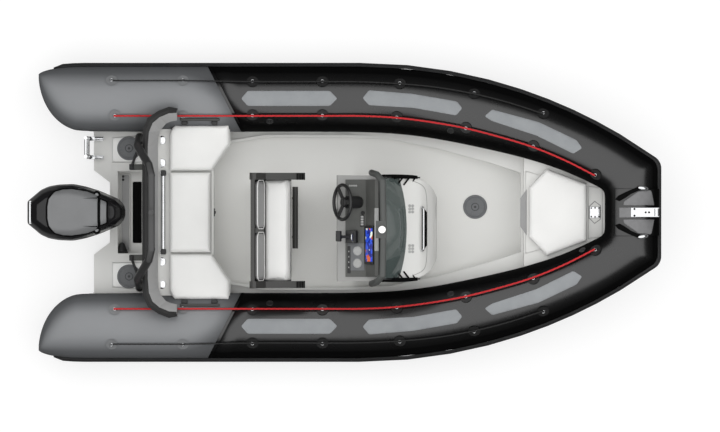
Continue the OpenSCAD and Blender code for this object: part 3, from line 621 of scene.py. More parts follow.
red_rope = rope_fibre("red_rope", tint(172, 30, 36), tint(214, 52, 56))
black_rope = rope_fibre("black_rope", neutral(0.008), neutral(0.03))
INNER_LINE = [(-1.985, 0.829), (-1.4, 0.829), (-0.807, 0.829), (-0.213, 0.829), (0.12, 0.828), (0.419, 0.812),
              (0.72, 0.774), (1.005, 0.722), (1.30, 0.647), (1.576, 0.562), (1.85, 0.450), (2.102, 0.322)]
OUTER_LINE = [(-1.990, 1.109), (-1.4, 1.109), (-0.807, 1.100), (-0.213, 1.100), (0.12, 1.098), (0.444, 1.082),
              (0.76, 1.050), (1.074, 0.994), (1.37, 0.918), (1.657, 0.824)]
for side, side_name in SIDES:
    rope_piece("lifeline_red_" + side_name, [(x, y * side) for x, y in INNER_LINE], 0.0085, red_rope)
    rope_piece("lifeline_black_" + side_name, [(x, y * side) for x, y in OUTER_LINE], 0.0060, black_rope)

# ------------------------------------------------------------------ rub rail
# A moulded rubber fender strip, two ridges with a groove between, glued right
# round the tubes at their widest line.


def flat_faced_copy(node):
    """The CAD shape with each flat as one face."""
    shape = merged_copy(node)
    bmesh.ops.dissolve_limit(shape, angle_limit=math.radians(0.4), verts=shape.verts, edges=shape.edges)
    return shape


def round_edges(piece, width, segments, angle):
    """Rounds every edge that turns more than an angle in degrees."""
    corner = piece.modifiers.new("edges", "BEVEL")
    corner.width = width
    corner.segments = segments
    corner.limit_method = "ANGLE"
    corner.angle_limit = math.radians(angle)
    return corner


def eased_piece(node, finish, edge, segments, body="boat", angle=32):
    """The CAD shape with its sharp edges rounded off, as a moulding's are."""
    piece = make_piece(flat_faced_copy(node), node + "_finished", finish, body, angle, stands_for=node)
    round_edges(piece, edge, segments, angle).harden_normals = True
    return piece


fender = Finish("fender_rubber", Specular_IOR_Level=0.5)
fender.mottled((0.010, 0.010, 0.0105), (0.024, 0.024, 0.025), (7.0, 5.0), (0.36, 0.52))
fender.grained(180.0, 0.0004, 0.35)
rail = flat_faced_copy("rub_rail")
for side, _ in SIDES:
    corner, seam = bow_mitre(side)
    mitre = [e for e in rail.edges if all(abs((v.co - corner).dot(seam)) < 0.004 for v in e.verts)]
    bmesh.ops.bevel(rail, geom=mitre, offset=0.055, segments=6, profile=0.5, affect="EDGES", material=-1)
rail_piece = make_piece(rail, "rub_rail_finished", fender, smooth=25, stands_for="rub_rail")
round_edges(rail_piece, 0.006, 3, 25)

# ------------------------------------------------------------------ hull
# A one-piece glass-fibre hull in pale grey gelcoat, with a deep V, a hard chine
# and two spray strakes each side.
gelcoat = Finish("gelcoat", Specular_IOR_Level=0.5, Coat_Roughness=0.08)
cloudy = gelcoat.noise(1.6, 3.0)
gelcoat.feed("Base Color", gelcoat.mix(cloudy, tint(206, 206, 203), tint(216, 216, 213)))
gelcoat.feed("Roughness", gelcoat.between(gelcoat.noise(14.0, 3.0), 0.24, 0.36))
gelcoat.feed("Coat Weight", gelcoat.between(cloudy, 0.25, 0.45))
gelcoat.grained(34.0, 0.0004, 0.18)
eased_piece("hull_shell", gelcoat, 0.006, 3)

# ------------------------------------------------------------------ deck
# The inner moulding: cockpit floor, side ledges, stern platforms and the splash
# well. What people tread on has a moulded diamond non-skid.
tread = Finish("deck_gelcoat", Specular_IOR_Level=0.45)
cloudy = tread.noise(1.3, 4.0)
level = tread.facing(2) > 0.985
side_wall = 1 - level
STUD_TURN = 0.785
studs = tread.node("TexVoronoi", {"feature": "F1"}, Vector=tread.place(turn=(0, 0, STUD_TURN)), Scale=260.0,
                   Randomness=0.15)
shade = tread.mix(cloudy, tint(220, 220, 217), tint(230, 230, 227))
tread.feed("Base Color", tread.mix(side_wall, shade, tint(216, 216, 214)))
tread.feed("Roughness", 0.30 + level * 0.22 + cloudy * 0.06)
tread.feed("Normal", tread.bump((1 - studs * 1.6) * level, 0.0006, 0.35))
eased_piece("deck", tread, 0.010, 3)

# ------------------------------------------------------------------ deck hatches
# Screw-in inspection hatches of grey plastic: a flange, a ribbed cap that turns out
# on a bayonet thread, and a hub in its middle. Two aft, one in the bow floor.
hatch_plastic = Finish("hatch_plastic", Specular_IOR_Level=0.45)
hatch_plastic.mottled(tint(92, 94, 96), tint(112, 114, 116), (18.0, 4.0), (0.42, 0.58), (60.0, 2.0))
hatch_plastic.grained(600.0, 0.0003, 0.4)


def turned(shape, rows, steps=48, middle=(0, 0, 0), axis=(0, 0, 1), out=(1, 0, 0)):
    """Spins a profile of [distance out, height] rows about an axis, as on a lathe."""
    axis, out = Vector(axis).normalized(), Vector(out)
    verts = [shape.verts.new(Vector(middle) + out * row[0] + axis * row[1]) for row in rows]
    edges = [shape.edges.new(pair) for pair in zip(verts, verts[1:])]
    bmesh.ops.spin(shape, geom=verts + edges, axis=axis, cent=middle, steps=steps, angle=math.tau, use_merge=True)
    bmesh.ops.remove_doubles(shape, verts=shape.verts, dist=1e-5)
    bmesh.ops.recalc_face_normals(shape, faces=shape.faces)
    return shape


def block(shape, low, high, edge=0.0, segments=2):
    """A moulded block between two corners, with rounded edges."""
    part = bmesh.new()
    size = [h - l for l, h in zip(low, high)]
    middle = [(h + l) / 2 for l, h in zip(low, high)]
    bmesh.ops.create_cube(part, size=1.0, matrix=Matrix.Translation(middle) @ Matrix.Diagonal((*size, 1)))
    if edge:
        bmesh.ops.bevel(part, geom=part.edges[:], offset=edge, segments=segments, profile=0.5, affect="EDGES",
                        material=-1)
    join_into(shape, part)
    return shape


def moved(shape, x, y, z):
    bmesh.ops.translate(shape, verts=shape.verts, vec=(x, y, z))
    return shape


def swung(shape, degrees):
    """Turned about the upright through the origin."""
    turn = Matrix.Rotation(math.radians(degrees), 3, "Z")
    bmesh.ops.rotate(shape, verts=shape.verts, cent=(0, 0, 0), matrix=turn)
    return shape


HATCH_RIBS = 16
hatches, hubs = bmesh.new(), bmesh.new()
hatch_low, hatch_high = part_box("deck_hatches")
for x, y, top in ((-1.863, 0.546, hatch_high.z), (-1.863, -0.546, hatch_high.z),
                  (1.090, 0.047, hatch_low.z + 0.008)):
    turned(hatches, [(0.102, -0.008), (0.102, -0.002), (0.098, 0.001), (0.086, 0.001), (0.083, -0.002),
                     (0.081, -0.002), (0.079, 0.002), (0.036, 0.0025), (0.034, 0.0005), (0.030, 0.0005),
                     (0.028, 0.004), (0.024, 0.005), (0.012, 0.005), (0.010, 0.002), (0.0, 0.002)], 64, (x, y, top))
    for k in range(HATCH_RIBS):
        rib = block(bmesh.new(), (0.042, -0.0016, top - 0.001), (0.074, 0.0016, top + 0.0035), 0.0012, 2)
        join_into(hatches, moved(swung(rib, 360 * k / HATCH_RIBS), x, y, 0))
    turned(hubs, [(0.034, 0.0005), (0.034, 0.0030), (0.030, 0.0034), (0.026, 0.0034), (0.0, 0.0034)], 32,
           (x, y, top))
make_piece(hatches, "deck_hatches_finished", hatch_plastic, stands_for="deck_hatches")
hub_plastic = Finish("hatch_hub_plastic", Specular_IOR_Level=0.4)
hub_plastic.mottled(tint(52, 53, 54), tint(66, 67, 68), (18.0, 4.0), (0.42, 0.58), (60.0, 2.0))
make_piece(hubs, "deck_hatch_hubs", hub_plastic)

# ------------------------------------------------------------------ bow step
# A black moulding bent over the cross tube, with ribs on each side and three grey
# foam treads to step on.
textured_black = Finish("textured_black_plastic", Specular_IOR_Level=0.45)
textured_black.mottled(neutral(0.010), (0.022, 0.022, 0.023), (20.0, 4.0), (0.34, 0.52), (70.0, 2.0))
textured_black.grained(900.0, 0.0002, 0.5)

deep_black = Finish("deep_black_rubber", Specular_IOR_Level=0.06)
deep_black.mottled(neutral(0.0012), (0.0030, 0.0030, 0.0031), (30.0, 3.0), (0.62, 0.78), (80.0, 2.0))

foam_tread = Finish("grey_foam_tread", Specular_IOR_Level=0.25)
foam_tread.mottled(tint(116, 116, 117), tint(132, 132, 133), (30.0, 4.0), (0.66, 0.82))
ribbing = foam_tread.bands("Y", 38.0) + foam_tread.noise(700.0, 2.0) * 0.3
foam_tread.feed("Normal", foam_tread.bump(ribbing, 0.0006, 0.6))

eased_piece("bow_step", black_fabric, 0.004, 2)
step_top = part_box("bow_step")[1].z
drum_x, drum_z = cad_high.x - 0.253, 0.615
drum_r = step_top - drum_z


def bend_over_bow(shape):
    """Lays a piece drawn in plan over the round top of the bow step."""
    for vert in shape.verts:
        reach = max(-0.98, min(0.98, (vert.co.x - drum_x) / drum_r))
        up = Vector((reach, 0, math.sqrt(1 - reach * reach)))
        vert.co = Vector((drum_x, vert.co.y, drum_z)) + up * (drum_r + vert.co.z)


SIDE_TREAD = [(2.331, 0.059), (2.336, 0.091), (2.460, 0.178), (2.561, 0.188), (2.573, 0.176), (2.596, 0.059)]
MIDDLE_TREAD = [(2.297, -0.044), (2.44, -0.044), (2.44, 0.041), (2.297, 0.041)]
pads = bmesh.new()
for outline, corner in ((SIDE_TREAD, 0.008), ([(x, -y) for x, y in SIDE_TREAD], 0.008), (MIDDLE_TREAD, 0)):
    pad = plan_of(outline)
    if corner:
        round_outline(pad, corner)
    stepped(pad, 0.004, 0.005)
    cut_across(pad, 0.02, 2.7)
    join_into(pads, pad)
bend_over_bow(pads)
make_piece(pads, "bow_step_treads", foam_tread, smooth=50)
eased_piece("bow_roller", steel, 0.0015, 2)
bolts = bmesh.new()
for x, y in ((2.425, 0.028), (2.425, -0.028), (2.520, 0.0), (2.548, 0.0)):
    turned(bolts, [(0.009, 0.0), (0.008, 0.002), (0.0, 0.0025)], 16, (x, y, step_top + 0.0064))
make_piece(bolts, "bow_roller_bolts", deep_black)
eased_piece("bow_eye", steel, 0.002, 2)
eased_piece("tow_eyes", steel, 0.002, 2)

# ------------------------------------------------------------------ bow locker and cushion
# A moulded step over the forward locker, its lid under a thick sun cushion, and the
# anchor locker's lid ahead of it with a stainless plate on top.
eased_piece("bow_locker", gelcoat, 0.002, 2)
eased_piece("bow_locker_lid", gelcoat, 0.0015, 2, "bow_locker_lid")
eased_piece("anchor_lid", gelcoat, 0.004, 2, "anchor_lid")


def pored(cover, fold_scale, depth, strength):
    """The pores and faint folds of vinyl, on a finish."""
    pores = cover.node("TexVoronoi", {"feature": "DISTANCE_TO_EDGE"}, Vector=cover.place(), Scale=420.0)
    return cover.feed("Normal", cover.bump(pores + cover.noise(fold_scale, 3.0) * 0.4, depth, strength))


white_vinyl = Finish("white_vinyl", Specular_IOR_Level=0.4, Sheen_Weight=0.08)
white_vinyl.mottled(tint(224, 224, 222), tint(234, 234, 232), (4.0, 3.0), (0.42, 0.56), (25.0, 3.0))
pored(white_vinyl, 60.0, 0.0004, 0.35)
grey_vinyl = Finish("grey_vinyl", Specular_IOR_Level=0.35)
grey_vinyl.mottled(tint(140, 140, 140), tint(156, 156, 156), (6.0, 3.0), (0.45, 0.6), (25.0, 3.0))
pored(grey_vinyl, 60.0, 0.0004, 0.35)
thread = Finish("sewing_thread", Base_Color=(0.62, 0.62, 0.61, 1), Roughness=0.7)
thread.feed("Base Color", thread.mix(thread.noise(300.0), (0.52, 0.52, 0.51), (0.66, 0.66, 0.65)))


def remeshed(shape, voxel):
    """The closed shape as one even skin of small four-sided faces, in a mesh."""
    mesh = bpy.data.meshes.new("blank")
    shape.to_mesh(mesh)
    shape.free()
    blank = bpy.data.objects.new("blank", mesh)
    bpy.context.scene.collection.objects.link(blank)
    grid = blank.modifiers.new("grid", "REMESH")
    grid.mode = "VOXEL"
    grid.voxel_size = voxel
    skin = bpy.data.meshes.new_from_object(blank.evaluated_get(bpy.context.evaluated_depsgraph_get()))
    bpy.data.objects.remove(blank)
    return skin


def relaxed(skin, rounds):
    """A mesh as a bmesh, smoothed a number of times."""
    shape = bmesh.new()
    shape.from_mesh(skin)
    for _ in range(rounds):
        bmesh.ops.smooth_vert(shape, verts=shape.verts, factor=0.5,
                              use_axis_x=True, use_axis_y=True, use_axis_z=True)
    return shape


COVER_PRESSURE, COVER_FRAMES, QUICK_COARSER = 4.0, 20, 1.6


def stuffed(shape, name, finish, body, stands_for, cap, voxel=0.007, down=(0, 0, -1)):
    """Foam under a sewn cover: a closed shape remeshed and blown up as cloth, but flat where it rests."""
    shape.normal_update()
    bmesh.ops.recalc_face_normals(shape, faces=shape.faces)
    skin = remeshed(shape, voxel)
    blank = bpy.data.objects.new(name, skin)
    bpy.context.scene.collection.objects.link(blank)
    start = [v.co.copy() for v in skin.vertices]
    under = [v.normal.dot(Vector(down)) > 0.6 for v in skin.vertices]
    cloth = blank.modifiers.new("cover", "CLOTH")
    cloth.settings.use_pressure = True
    cloth.settings.uniform_pressure_force = COVER_PRESSURE
    cloth.settings.quality = 4
    cloth.settings.effector_weights.gravity = 0.0
    cloth.point_cache.frame_start, cloth.point_cache.frame_end = 1, COVER_FRAMES
    for frame_number in range(1, COVER_FRAMES + 1):
        bpy.context.scene.frame_set(frame_number)
    blown = blank.evaluated_get(bpy.context.evaluated_depsgraph_get()).data
    moved_to = [v.co.copy() for v in blown.vertices]
    blank.modifiers.remove(cloth)
    for vert, first, last, resting in zip(skin.vertices, start, moved_to, under):
        step = last - first
        if step.length > cap:
            step = step.normalized() * cap
        vert.co = first if resting else first + step
    cover = relaxed(skin, 2)
    bpy.data.objects.remove(blank)
    piece = make_piece(cover, name, finish, body, 180, stands_for)
    rounded(piece, 1)
    return piece


STITCH_PITCH, STITCH_LENGTH, STITCH_WIDTH, STITCH_HEIGHT = 0.009, 0.62, 0.0013, 0.0012


def stitched(name, piece, outline, body):
    """A row of single stitches along a closed line on a cushion's upper side."""
    graph = bpy.context.evaluated_depsgraph_get()
    tree = BVHTree.FromObject(piece, graph)
    points = [Vector((x, y, 0)) for x, y in outline + outline[:1]]
    row = bmesh.new()
    for start, end in zip(points, points[1:]):
        along = (end - start).normalized()
        for k in range(int((end - start).length / STITCH_PITCH)):
            spot = start + along * (k + 0.5) * STITCH_PITCH
            place, facing, _, _ = tree.ray_cast(Vector((spot.x, spot.y, 3)), Vector((0, 0, -1)))
            if place is None:
                continue
            side = facing.cross(along).normalized()
            size = Matrix.Diagonal((STITCH_PITCH * STITCH_LENGTH, STITCH_WIDTH, STITCH_HEIGHT, 1))
            spot = turned_to(place + facing * 0.0002, along, side, facing)
            bmesh.ops.create_cube(row, size=1.0, matrix=spot @ size)
    make_piece(row, name, thread, body, 40)


def inset_outline(points, distance):
    """A closed outline moved inwards."""
    shape = plan_of(points)
    line = [(v.co.x, v.co.y) for v in stepped(shape, distance, 0.0).verts]
    shape.free()
    return line


def mirrored(points):
    """Points and their mirror images across the middle, in an order that closes an outline."""
    return [(x, y) for x, y in points] + [(x, -y) for x, y in reversed(points)]


bow_cushion = stuffed(merged_copy("bow_cushion"), "bow_cushion_cover", white_vinyl, "bow_locker_lid",
                      "bow_cushion", cap=0.009, voxel=0.0075)
BOW_CUSHION_EDGE = mirrored([(1.534, 0.216), (1.690, 0.378), (2.040, 0.246)])
stitched("bow_cushion_stitches", bow_cushion, inset_outline(BOW_CUSHION_EDGE, 0.030), "bow_locker_lid")

# A stainless plate with screws round it, inside a hexagonal groove in the anchor lid; the groove is a flat grey
# ring of painted shade
plate_low, plate_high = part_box("anchor_lid_plate")
plate_x, plate_top = (plate_low.x + plate_high.x) / 2, plate_high.z
plate = block(bmesh.new(), (plate_x - 0.046, -0.048, plate_low.z), (plate_x + 0.046, 0.048, plate_top), 0.004, 3)
make_piece(plate, "anchor_lid_plate_finished", steel, "anchor_lid", stands_for="anchor_lid_plate")
# A flat grey ring on the lid paints the shade of the groove
groove_shade_ring = plan_of(mirrored([(2.050, 0.050), (2.100, 0.098), (2.152, 0.060)]))
bmesh.ops.delete(groove_shade_ring, geom=[stepped(groove_shade_ring, 0.006, 0.0)], context="FACES_ONLY")
moved(groove_shade_ring, 0, 0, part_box("anchor_lid")[1].z + 0.0006)
make_piece(groove_shade_ring, "anchor_lid_groove_shade", foam_tread, "anchor_lid")
screws = bmesh.new()
for x, y in mirrored([(-0.032, -0.036), (0.0, -0.038), (0.032, -0.036)]):
    turned(screws, [(0.007, 0.0), (0.0065, 0.0015), (0.003, 0.0024), (0.0, 0.0026)], 12,
           (plate_x + x, y, plate_top - 0.0002))
make_piece(screws, "anchor_lid_screws", deep_black, "anchor_lid")

# The sloped lip of the locker, aft of the cushion, gets a flat grey strip: painted shade for that sloped face
locker_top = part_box("bow_locker")[1].z
lip = plan_of([(1.468, 0.120), (1.524, 0.198), (1.524, -0.198), (1.468, -0.120)])
stepped(lip, 0.003, 0.0015)
moved(lip, 0, 0, locker_top + 0.0005)
make_piece(lip, "bow_locker_lip_shade", grey_vinyl)

# ------------------------------------------------------------------ console
# A gelcoat pod set to starboard, with a dark dash panel let into its sloping top and
# a lighter nose ahead of the windscreen.
console_y = -0.134
lip_grey = Finish("console_lip_gelcoat", Specular_IOR_Level=0.45)
lip_grey.mottled(tint(142, 142, 140), tint(154, 154, 152), (5.0, 3.0), (0.34, 0.48), (60.0, 2.0))
console = eased_piece("console_body", [gelcoat, lip_grey], 0.016, 4)
LIP_END = 0.30
for face in console.data.polygons:
    if face.normal.z > 0.5 and face.center.x < LIP_END:
        face.material_index = 1
dash_plastic = Finish("dash_plastic", Specular_IOR_Level=0.4)
dash_plastic.mottled(tint(74, 75, 73), tint(92, 93, 90), (9.0, 5.0), (0.42, 0.58))
dash_plastic.grained(700.0, 0.0002, 0.4)
eased_piece("console_dash", dash_plastic, 0.008, 3)

faces_of = {}


def spot_on(nodes_under, x, y):
    """Where a plumb line at x, y meets some CAD nodes, and which way they face there."""
    best = None
    for node in nodes_under:
        if node not in faces_of:
            shape = merged_copy(node)
            faces_of[node] = BVHTree.FromBMesh(shape)
            shape.free()
        place, facing, _, _ = faces_of[node].ray_cast(Vector((x, y, 3.0)), Vector((0, 0, -1)))
        if place is not None and (best is None or place.z > best[0].z):
            best = (place, facing)
    return best


def stand_on(shape, nodes_under, x, y):
    """Stands a piece drawn round the origin, z up, on the surface below x, y."""
    place, up = spot_on(nodes_under, x, y)
    forward = Vector((1, 0, 0))
    forward = (forward - up * forward.dot(up)).normalized()
    bmesh.ops.transform(shape, matrix=turned_to(place, forward, up.cross(forward), up), verts=shape.verts)
    return shape


DASH = ["console_dash", "console_body"]

# Controls on the dash: rocker switches, gauge lights, a tray with two cup recesses
dash_parts, pale_parts, tray_parts = bmesh.new(), bmesh.new(), bmesh.new()
for k in range(4):
    rocker = block(bmesh.new(), (-0.013, -0.008, 0), (0.013, 0.008, 0.006), 0.002, 2)
    join_into(pale_parts, stand_on(rocker, DASH, 0.125, -0.038 - k * 0.021))
bezel = block(bmesh.new(), (-0.020, -0.055, 0), (0.020, 0.045, 0.0025), 0.001, 2)
join_into(dash_parts, stand_on(bezel, DASH, 0.125, -0.069))
key_switch = turned(bmesh.new(), [(0.017, 0), (0.017, 0.006), (0.012, 0.010), (0.0, 0.010)], 24)
block(key_switch, (-0.010, -0.002, 0.009), (0.010, 0.002, 0.022), 0.001, 2)
join_into(dash_parts, stand_on(key_switch, DASH, 0.130, -0.006))
for k in range(5):
    knob = turned(bmesh.new(), [(0.008, 0), (0.008, 0.004), (0.006, 0.006), (0.0, 0.006)], 16)
    join_into(pale_parts, stand_on(knob, DASH, 0.020 + 0.014 * k, 0.225))
tray = block(bmesh.new(), (-0.075, -0.115, 0), (0.075, 0.115, 0.003), 0.0015, 2)
join_into(tray_parts, stand_on(tray, DASH, 0.075, -0.375))
for y in (-0.325, -0.430):
    cup = turned(bmesh.new(), [(0.040, 0), (0.040, 0.006), (0.037, 0.008), (0.034, 0.006), (0.033, 0.0045),
                               (0.0, 0.0045)], 40)
    join_into(pale_parts, stand_on(cup, DASH, 0.086, y))
slot_cover = block(bmesh.new(), (-0.014, -0.115, 0), (0.014, 0.115, 0.006), 0.003, 2)
join_into(dash_parts, stand_on(slot_cover, DASH, 0.014, -0.400))
for k in range(4):
    catch = block(bmesh.new(), (-0.004, -0.006, 0.005), (0.004, 0.006, 0.008), 0.001, 2)
    join_into(pale_parts, stand_on(catch, DASH, 0.014, -0.33 - k * 0.045))
make_piece(dash_parts, "dash_controls", textured_black)
dial_grey = Finish("dial_grey_plastic", Roughness=0.4)
dial_grey.feed("Base Color", dial_grey.mix(dial_grey.noise(40.0, 3.0), tint(150, 151, 150), tint(176, 177, 175)))
make_piece(pale_parts, "dash_switches", dial_grey)
make_piece(tray_parts, "dash_tray", hatch_plastic)
collar = stand_on(hoop(0.038, 0.006, 0.004, 14, 40), ["throttle"] + DASH, 0.045, console_y - 0.075)
make_piece(collar, "throttle_collar", steel, smooth=80, outward=True)

# Chart plotter: a black case, a glass front and a made-up chart of a coast
eased_piece("chartplotter", textured_black, 0.004, 3)
plotter_low, plotter_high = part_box("chartplotter")
plotter_x, plotter_y = (plotter_low.x + plotter_high.x) / 2, (plotter_low.y + plotter_high.y) / 2
chart = Finish("chart_display", Roughness=0.12, Emission_Strength=0.55)
land = chart.noise(11.0, 5.0, at=chart.place(middle=(0.3, 0.7, 0.2)))
depth = chart.noise(19.0, 3.0)
water = chart.mix(depth > 0.52, tint(38, 74, 196), tint(30, 36, 120))
coast = chart.mix(land > 0.60, water, tint(196, 88, 40))
shoals = chart.noise(8.0, 2.0, at=chart.place(middle=(2.2, 0.1, 0.9)))
picture = chart.mix(shoals > 0.60, coast, tint(214, 226, 214))
chart.feed("Base Color", picture)
chart.feed("Emission Color", picture)
glass = block(bmesh.new(), (-0.072, -0.140, 0.0), (0.072, 0.140, 0.0022), 0.001, 2)
make_piece(stand_on(glass, ["chartplotter"], plotter_x, plotter_y), "chart_display", chart)
strip = block(bmesh.new(), (-0.018, -0.180, 0.0), (0.018, 0.180, 0.003), 0.001, 2)
make_piece(stand_on(strip, DASH, 0.246, -0.145), "brow_strip", dial_grey)

# Throttle box with its lever and grip
lever = make_piece(merged_copy("throttle"), "throttle_finished", textured_black,
                   stands_for="throttle")
lever_edges = lever.modifiers.new("edges", "BEVEL")
lever_edges.width, lever_edges.segments = 0.006, 3

# Steering wheel: a moulded rim with finger bumps on the inside, three dished spokes
# and a round boss, on a short tilted column
RIM_R, GRIP_R, COLUMN_TILT = 0.1455, 0.0145, math.radians(29.5)
FINGER_BUMPS, BUMP_DEPTH = 16, 0.010
wheel_low, wheel_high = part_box("helm_wheel")
wheel_at = Vector((-0.042, 0.085, (wheel_low.z + wheel_high.z) / 2))
wheel_axis = Vector((-math.cos(COLUMN_TILT), 0, math.sin(COLUMN_TILT)))
wheel_across = Vector((0, 1, 0))
wheel = hoop(RIM_R, GRIP_R, 0, 16, 96)
for vert in wheel.verts:
    angle = math.atan2(vert.co.y, vert.co.x)
    reach = math.hypot(vert.co.x, vert.co.y)
    if reach < RIM_R:
        pull = 1 + BUMP_DEPTH * max(0, math.cos(angle * FINGER_BUMPS)) * (RIM_R - reach) / GRIP_R
        vert.co.x *= pull
        vert.co.y *= pull
SPOKE_START, SPOKE_END, SPOKE_RISE, SPOKE_WAIST = 0.030, 0.140, 0.14, 0.35
for turn in (90, 210, 330):
    spoke = block(bmesh.new(), (SPOKE_START, -0.020, -0.020), (SPOKE_END, 0.020, -0.006), 0.005, 3)
    for vert in spoke.verts:
        out = vert.co.x - SPOKE_START
        vert.co.z += out * SPOKE_RISE
        vert.co.y *= 1.0 - SPOKE_WAIST * math.sin(out / (SPOKE_END - SPOKE_START) * math.pi)
    join_into(wheel, swung(spoke, turn))
turned(wheel, [(0.036, -0.032), (0.042, -0.022), (0.043, -0.006), (0.038, 0.001), (0.022, 0.004), (0.020, 0.003),
               (0.0, 0.003)], 48)
turned(wheel, [(0.0, -0.032), (0.036, -0.032)], 48)
bmesh.ops.transform(wheel, verts=wheel.verts,
                    matrix=turned_to(wheel_at, wheel_across, wheel_across.cross(wheel_axis), wheel_axis))
grip = Finish("wheel_grip", Specular_IOR_Level=0.5)
grip.mottled(neutral(0.007), neutral(0.016), (30.0, 3.0), (0.32, 0.48), (80.0, 2.0))
grip.grained(800.0, 0.0002, 0.5)
make_piece(wheel, "steering_wheel", grip, "helm_wheel", 50, "helm_wheel", outward=True)
eased_piece("helm_hub", textured_black, 0.004, 3)

# Tinted acrylic windscreen, one curved sheet, and the black ribbed side wings that hold it
tinted = Finish("tinted_acrylic", Roughness=0.04, Alpha=0.80, Specular_IOR_Level=0.6)
tinted.feed("Base Color", tinted.mix(tinted.noise(2.5, 2.0), tint(80, 92, 90), tint(96, 106, 104)))
screen = merged_copy("windscreen")
bmesh.ops.join_triangles(screen, faces=screen.faces, angle_face_threshold=0.8, angle_shape_threshold=0.9)
rounded(make_piece(creased(screen, 0.9), "windscreen_sheet", tinted, stands_for="windscreen"))

eased_piece("windscreen_fins", textured_black, 0.004, 2)
FIN_CAP = [(0.252, 0.446, 0.418), (0.300, 0.452, 0.419), (0.380, 0.454, 0.419), (0.460, 0.453, 0.418),
           (0.540, 0.449, 0.417), (0.592, 0.443, 0.416)]
FIN_LINE = 0.427
for side, side_name in SIDES:
    ribs = bmesh.new()
    rows = []
    for x, outer, inner in FIN_CAP:
        height = spot_on(["windscreen_fins"], x, console_y + side * FIN_LINE)[0].z
        section = ((outer, -0.030), (outer, -0.003), (outer - 0.005, 0.002),
                   (inner + 0.005, 0.002), (inner, -0.003), (inner, -0.030))
        rows.append([ribs.verts.new((x, console_y + side * y, height + z)) for y, z in section])
    for before, after in zip(rows, rows[1:]):
        for k, j in zip(range(6), (1, 2, 3, 4, 5, 0)):
            ribs.faces.new((before[k], before[j], after[j], after[k]))
    ribs.faces.new(rows[0])
    ribs.faces.new(list(reversed(rows[-1])))
    heights = [row[2].co.z for row in rows]
    for x in (0.330, 0.400, 0.465, 0.520, 0.570):
        rib = swung(block(bmesh.new(), (-0.007, -0.075, -0.012), (0.007, 0.0, 0.0), 0.003, 2), -38)
        for vert in rib.verts:
            vert.co.y *= side
        place = min(range(len(FIN_CAP)), key=lambda k: abs(FIN_CAP[k][0] - x))
        join_into(ribs, moved(rib, x, console_y + side * (FIN_CAP[place][2] + 0.006), heights[place] - 0.002))
    make_piece(ribs, "windscreen_ribs_" + side_name, deep_black, outward=True)

# Grab rail over the screen and the all-round light on its bracket
rail_paint = Finish("rail_paint", Specular_IOR_Level=0.45)
rail_paint.mottled(tint(66, 68, 67), tint(78, 80, 78), (12.0, 4.0), (0.36, 0.5))
rail_paint.grained(500.0, 0.00015, 0.4)
eased_piece("console_rail", rail_paint, 0.003, 2, angle=40)
lens = Finish("light_lens", Roughness=0.15, Emission_Strength=0.35)
glow = lens.mix(lens.noise(30.0), (0.90, 0.90, 0.88), (0.97, 0.97, 0.95))
lens.feed("Base Color", glow)
lens.feed("Emission Color", glow)
nav_low, nav_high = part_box("nav_light")
nav_x, nav_y = (nav_low.x + nav_high.x) / 2, (nav_low.y + nav_high.y) / 2
nav = turned(bmesh.new(), [(0.0, 0.0), (0.030, 0.0), (0.030, 0.012), (0.028, 0.014), (0.028, 0.050), (0.031, 0.056),
                           (0.031, 0.062), (0.026, 0.070), (0.014, 0.0738), (0.0, 0.074)], 40,
             (nav_x, nav_y, nav_low.z))
make_piece(nav, "nav_light_finished", lens, stands_for="nav_light")

# Nose of the console: a front grab handle over a deep black plate that paints the shade of its recess, two grilles
# and the hood's joint line
nose_recess_shade, nose_pale = bmesh.new(), bmesh.new()
for y in (console_y + 0.163, console_y - 0.173):
    for row in range(2):
        for k in range(3):
            hole = turned(bmesh.new(), [(0.012, -0.002), (0.012, 0.0035), (0.009, 0.0035), (0.008, 0.001),
                                        (0.0, 0.001)], 18)
            join_into(nose_pale, stand_on(hole, ["console_body"], 0.524 + 0.026 * row, y - 0.026 + 0.026 * k))
# A deep black plate behind the handle paints the shade of its recess
back_plate = block(bmesh.new(), (-0.006, -0.190, -0.020), (0.042, 0.190, 0.012), 0.0015, 2)
for vert in back_plate.verts:
    if vert.co.x > 0.015:
        vert.co.y *= 0.74
join_into(nose_recess_shade, stand_on(back_plate, ["console_body"], 0.632, console_y - 0.006))
grab = bmesh.new()
GRAB_LINE = [Vector((0, y, z)) for y, z in ((-0.185, 0.0), (-0.183, 0.024), (-0.165, 0.034),
                                            (0.165, 0.034), (0.183, 0.024), (0.185, 0.0))]
places = []
for k, point in enumerate(GRAB_LINE):
    ahead = (GRAB_LINE[min(k + 1, len(GRAB_LINE) - 1)] - GRAB_LINE[max(k - 1, 0)]).normalized()
    side = Vector((1, 0, 0))
    places.append(turned_to(point, side, ahead.cross(side), ahead))
tube_through(grab, places, 14, 0.008)
stand_on(grab, ["console_body"], 0.622, console_y - 0.006)
make_piece(grab, "console_front_handle", steel, smooth=60, outward=True)
make_piece(nose_recess_shade, "console_handle_recess_shade", deep_black)
hood_line = bmesh.new()
HOOD_EDGE = mirrored([(0.545, 0.402), (0.640, 0.352), (0.668, 0.250), (0.672, 0.0)])
path = curve_through([(x, console_y + y, 0) for x, y in HOOD_EDGE], 0.02)
for start, end in zip(path, path[1:]):
    place, up = spot_on(["console_body"], start.x, start.y)
    ahead = (spot_on(["console_body"], end.x, end.y)[0] - place)
    side = up.cross(ahead).normalized()
    corners = [place + side * 0.0028 * way + up * 0.0012 + ahead * part
               for part, way in ((0, 1), (0, -1), (1.04, -1), (1.04, 1))]
    hood_line.faces.new([hood_line.verts.new(corner) for corner in corners])
make_piece(hood_line, "console_hood_joint", lip_grey)
make_piece(nose_pale, "console_grilles", dial_grey)

